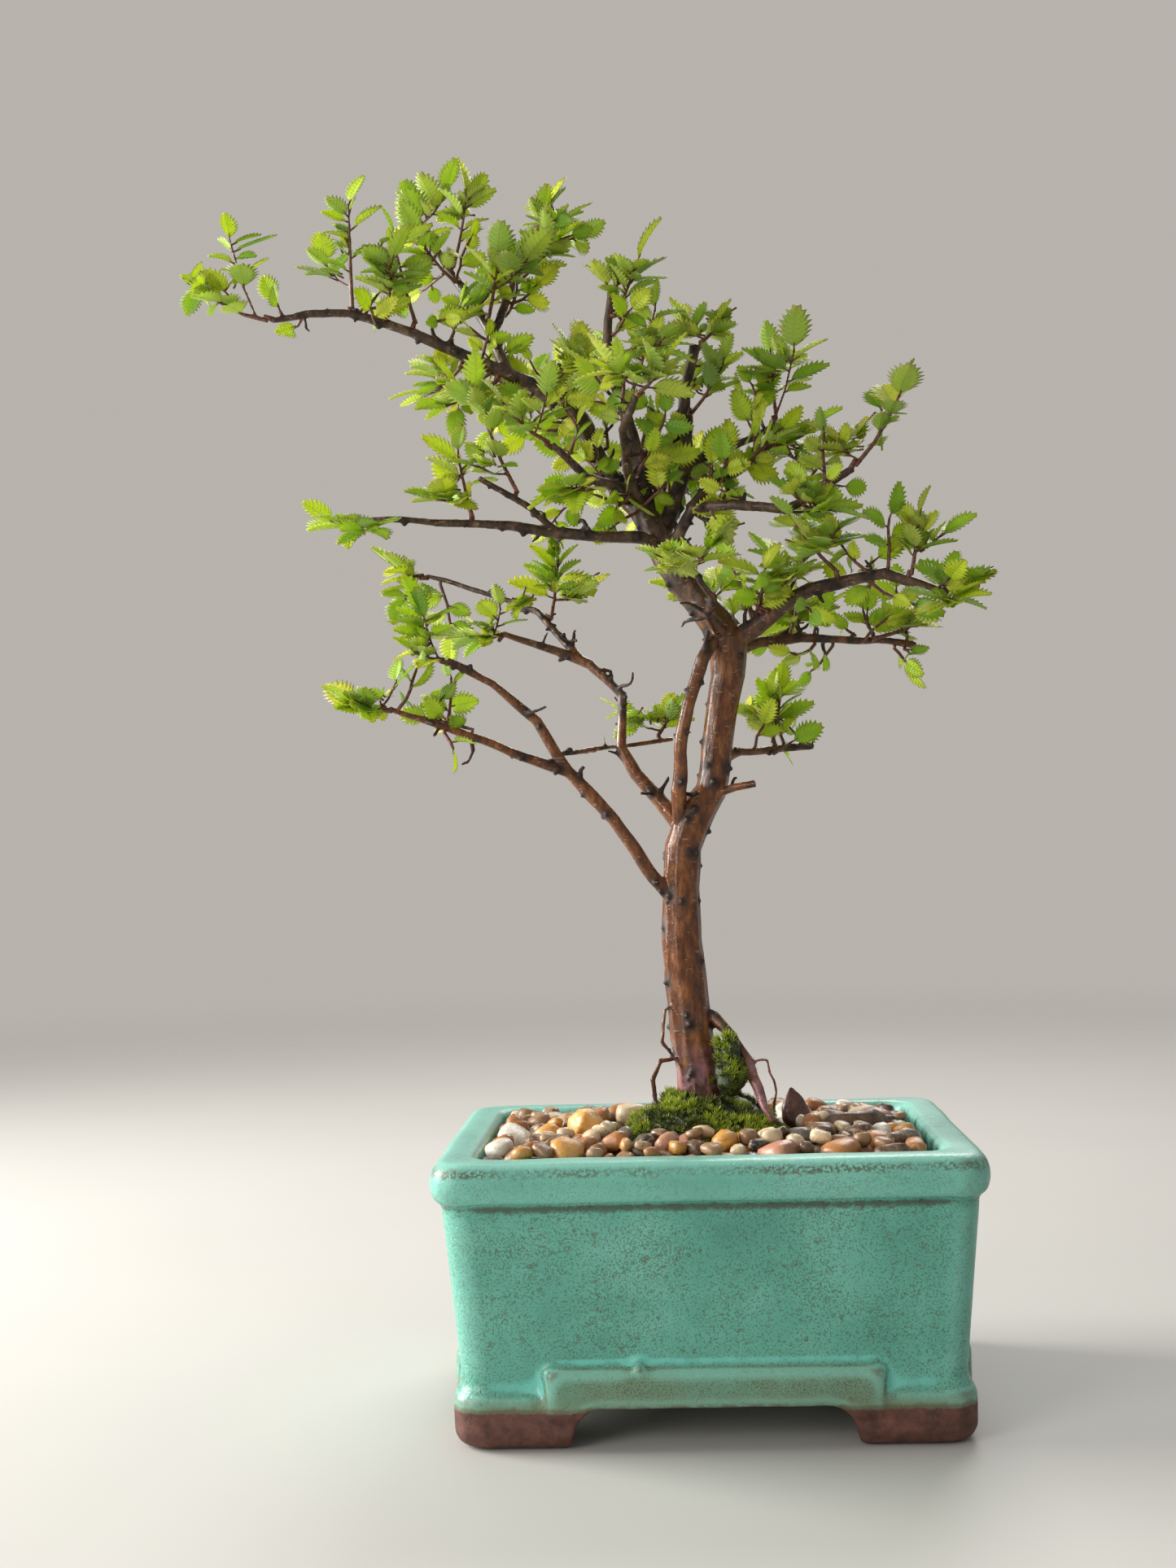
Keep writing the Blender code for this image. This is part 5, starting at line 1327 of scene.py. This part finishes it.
quilt = math_node(tree, "SUBTRACT", times(tree, wave, 0.6), vein)
bump_node(tree, shader, plus(tree, quilt, times(tree, mottle, 0.3)), 0.00016, 0.8)
glow = tree.nodes.new("ShaderNodeBsdfTranslucent")
lit = mix_node(tree, 0.6, colour, (0.84, 0.98, 0.08))
lit = mix_node(tree, times(tree, vein, 0.35), lit, (0.45, 0.62, 0.06))
tree.links.new(lit, glow.inputs["Color"])
blend = tree.nodes.new("ShaderNodeMixShader")
blend.inputs["Fac"].default_value = 0.48
tree.links.new(shader.outputs["BSDF"], blend.inputs[1])
tree.links.new(glow.outputs["BSDF"], blend.inputs[2])
tree.links.new(blend.outputs["Shader"], tree.nodes["Material Output"].inputs["Surface"])

twig_finish, tree, shader, coordinates = new_finish("young_twig", roughness=0.42)
grain = noise_node(tree, coordinates, 900.0, detail=4.0, roughness=0.6)
patchy = speckle(tree, coordinates, 160.0, 0.50, 0.68, end=0.5, detail=2.0)[0]
colour = ramp_node(tree, grain, [
    (0.35, (0.050, 0.016, 0.010)),
    (0.55, (0.155, 0.050, 0.026)),
    (0.72, (0.290, 0.110, 0.060)),
])
colour = mix_node(tree, patchy, colour, (0.110, 0.075, 0.045))
feed(tree, colour, shader, "Base Color")
feed(tree, step_node(tree, grain, 0.3, 0.7, 0.32, 0.55), shader, "Roughness")
bump_node(tree, shader, grain, 0.0002, 0.8)

wood_skin = skin_of(wood)
ROOTED_DEPTH = 0.0008
shoot_names = sorted(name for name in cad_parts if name.startswith("shoot_"))
shoots, blades = {}, {}
for name in shoot_names:
    mesh = bmesh.new()
    mesh.from_mesh(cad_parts[name].data)
    bmesh.ops.remove_doubles(mesh, verts=mesh.verts, dist=0.00002)
    mesh.normal_update()
    found = blades_of(mesh)
    leaf_corners = {vertex for blade in found for vertex in blade[5:]}
    blades[name] = [blade[:5] for blade in found]
    bmesh.ops.delete(mesh, geom=list(leaf_corners), context="VERTS")
    bmesh.ops.holes_fill(mesh, edges=[edge for edge in mesh.edges if edge.is_boundary], sides=0)
    socket = min((wood_skin.find_nearest(vertex.co)[3], vertex.index) for vertex in mesh.verts)[1]
    mesh.verts.ensure_lookup_table()
    start = mesh.verts[socket].co.copy()
    spot = wood_skin.find_nearest(start)[0]
    down_into = (spot - start).normalized()
    foot_path = [start - down_into * 0.0016, start, spot + down_into * ROOTED_DEPTH]
    twig_mesh = bpy.data.meshes.new("twig")
    mesh.to_mesh(twig_mesh)
    mesh.free()
    twig = bpy.data.objects.new("twig", twig_mesh)
    scene.collection.objects.link(twig)
    pick(twig)
    apply_modifier(twig, "REMESH", mode="VOXEL", voxel_size=0.00032)
    apply_modifier(twig, "SMOOTH", factor=0.5, iterations=2)
    apply_modifier(twig, "DECIMATE", ratio=0.45)
    twig_mesh = twig.data
    points = np.empty(len(twig_mesh.vertices) * 3)
    twig_mesh.vertices.foreach_get("co", points)
    faces = [list(face.vertices) for face in twig_mesh.polygons]
    shoot = Shoot()
    shoot.add((points.reshape(-1, 3), faces, [(0.5, 0.0)] * sum(len(face) for face in faces)), 1)
    shoot.add(stalk_patch(foot_path, (0.00060, 0.00080, 0.00095), 8), 1)
    shoots[name] = shoot
    bpy.data.objects.remove(twig)

rng = random.Random("leaves")
SPACING = 0.011
for name in shoot_names:
    found = blades[name]
    shoot = shoots[name]
    blushing = rng.random() < 0.36 or "red" in name
    for index, (base, forward, upper, length, width) in enumerate(found):
        if blushing and rng.random() < 0.6:
            blush = rng.uniform(0.35, 0.9)
        else:
            blush = max(0.0, rng.gauss(0.13, 0.20))
        long, wide = length * rng.uniform(0.98, 1.10), width * rng.uniform(0.98, 1.12)
        shoot.leaf(base, forward, upper, long, wide, rng, blush)
        near = [other for other in found if 0.0005 < (other[0] - base).length < SPACING]
        for other in near[:2]:
            spot = base.lerp(other[0], rng.uniform(0.3, 0.7))
            lean = stray(rng, 0.45, 0.3)
            ahead = (forward.lerp(other[1], rng.random()) + lean).normalized()
            face_up = (upper + Vector((0.0, 0.0, 0.35))).normalized()
            size = rng.uniform(0.55, 0.92)
            if rng.random() < 0.62:
                shoot.leaf(spot, ahead, face_up, length * size, width * size, rng, blush * 0.8)

# Short spurs carry a few small leaves each, straight off the branches.
LEAFY_SPURS, LOWEST_LEAF, SPUR_RADIUS = 150, 0.185, 0.00062
nearest_shoot = KDTree(sum(len(found) for found in blades.values()))
owner = []
for name in shoot_names:
    for blade in blades[name]:
        nearest_shoot.insert(blade[0], len(owner))
        owner.append(name)
nearest_shoot.balance()
wood_faces = list(wood.data.polygons)
areas = [face.area for face in wood_faces]
placed_spurs = 0
while placed_spurs < LEAFY_SPURS:
    face = wood_faces[rng.choices(range(len(wood_faces)), weights=areas)[0]]
    spot, normal = Vector(face.center), Vector(face.normal)
    through = wood_skin.ray_cast(spot - normal * 0.0002, -normal)[3]
    low_middle = spot.z < 0.262 and -0.030 < spot.x < 0.045
    if through is None or through > BRANCH_THICK or spot.z < LOWEST_LEAF or low_middle:
        continue
    placed_spurs += 1
    shoot = shoots[owner[nearest_shoot.find(spot)[1]]]
    ahead = (normal + stray(rng, 0.5, 0.4, rise=0.45)).normalized()
    path = [spot - normal * 0.0006, spot + normal * 0.0010]
    nodes_on_spur = rng.choice((2, 2, 3, 3, 4, 5))
    for step in range(nodes_on_spur):
        ahead = (ahead + stray(rng, 0.2, 0.2, rise=0.08)).normalized()
        path.append(path[-1] + ahead * rng.uniform(0.0020, 0.0040))
    spur_radii = [SPUR_RADIUS * (1 - 0.4 * step / len(path)) for step in range(len(path))]
    shoot.add(stalk_patch(path, spur_radii), 1)
    flat_side = ahead.cross(Vector((rng.gauss(0, 0.3), rng.gauss(0, 0.3), 1.0))).normalized()
    blush = max(0.0, rng.gauss(0.05, 0.15))
    for step in range(2, len(path)):
        along_path = (path[step] - path[step - 1]).normalized()
        out = flat_side * (1 if step % 2 else -1) + along_path * 0.7
        out = (out + Vector((0, 0, rng.gauss(-0.1, 0.25)))).normalized()
        if step == len(path) - 1:
            out = (along_path + out * 0.4).normalized()
        face_up = (along_path.cross(flat_side) + Vector((0, -0.2, 0.9))).normalized()
        size = rng.uniform(0.0062, 0.0112)
        shoot.leaf(path[step], out, face_up, size, size * rng.uniform(0.56, 0.66), rng, blush)
for name in shoot_names:
    piece = shoots[name].make("living_" + name)
    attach(piece, "root")
    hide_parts(name)
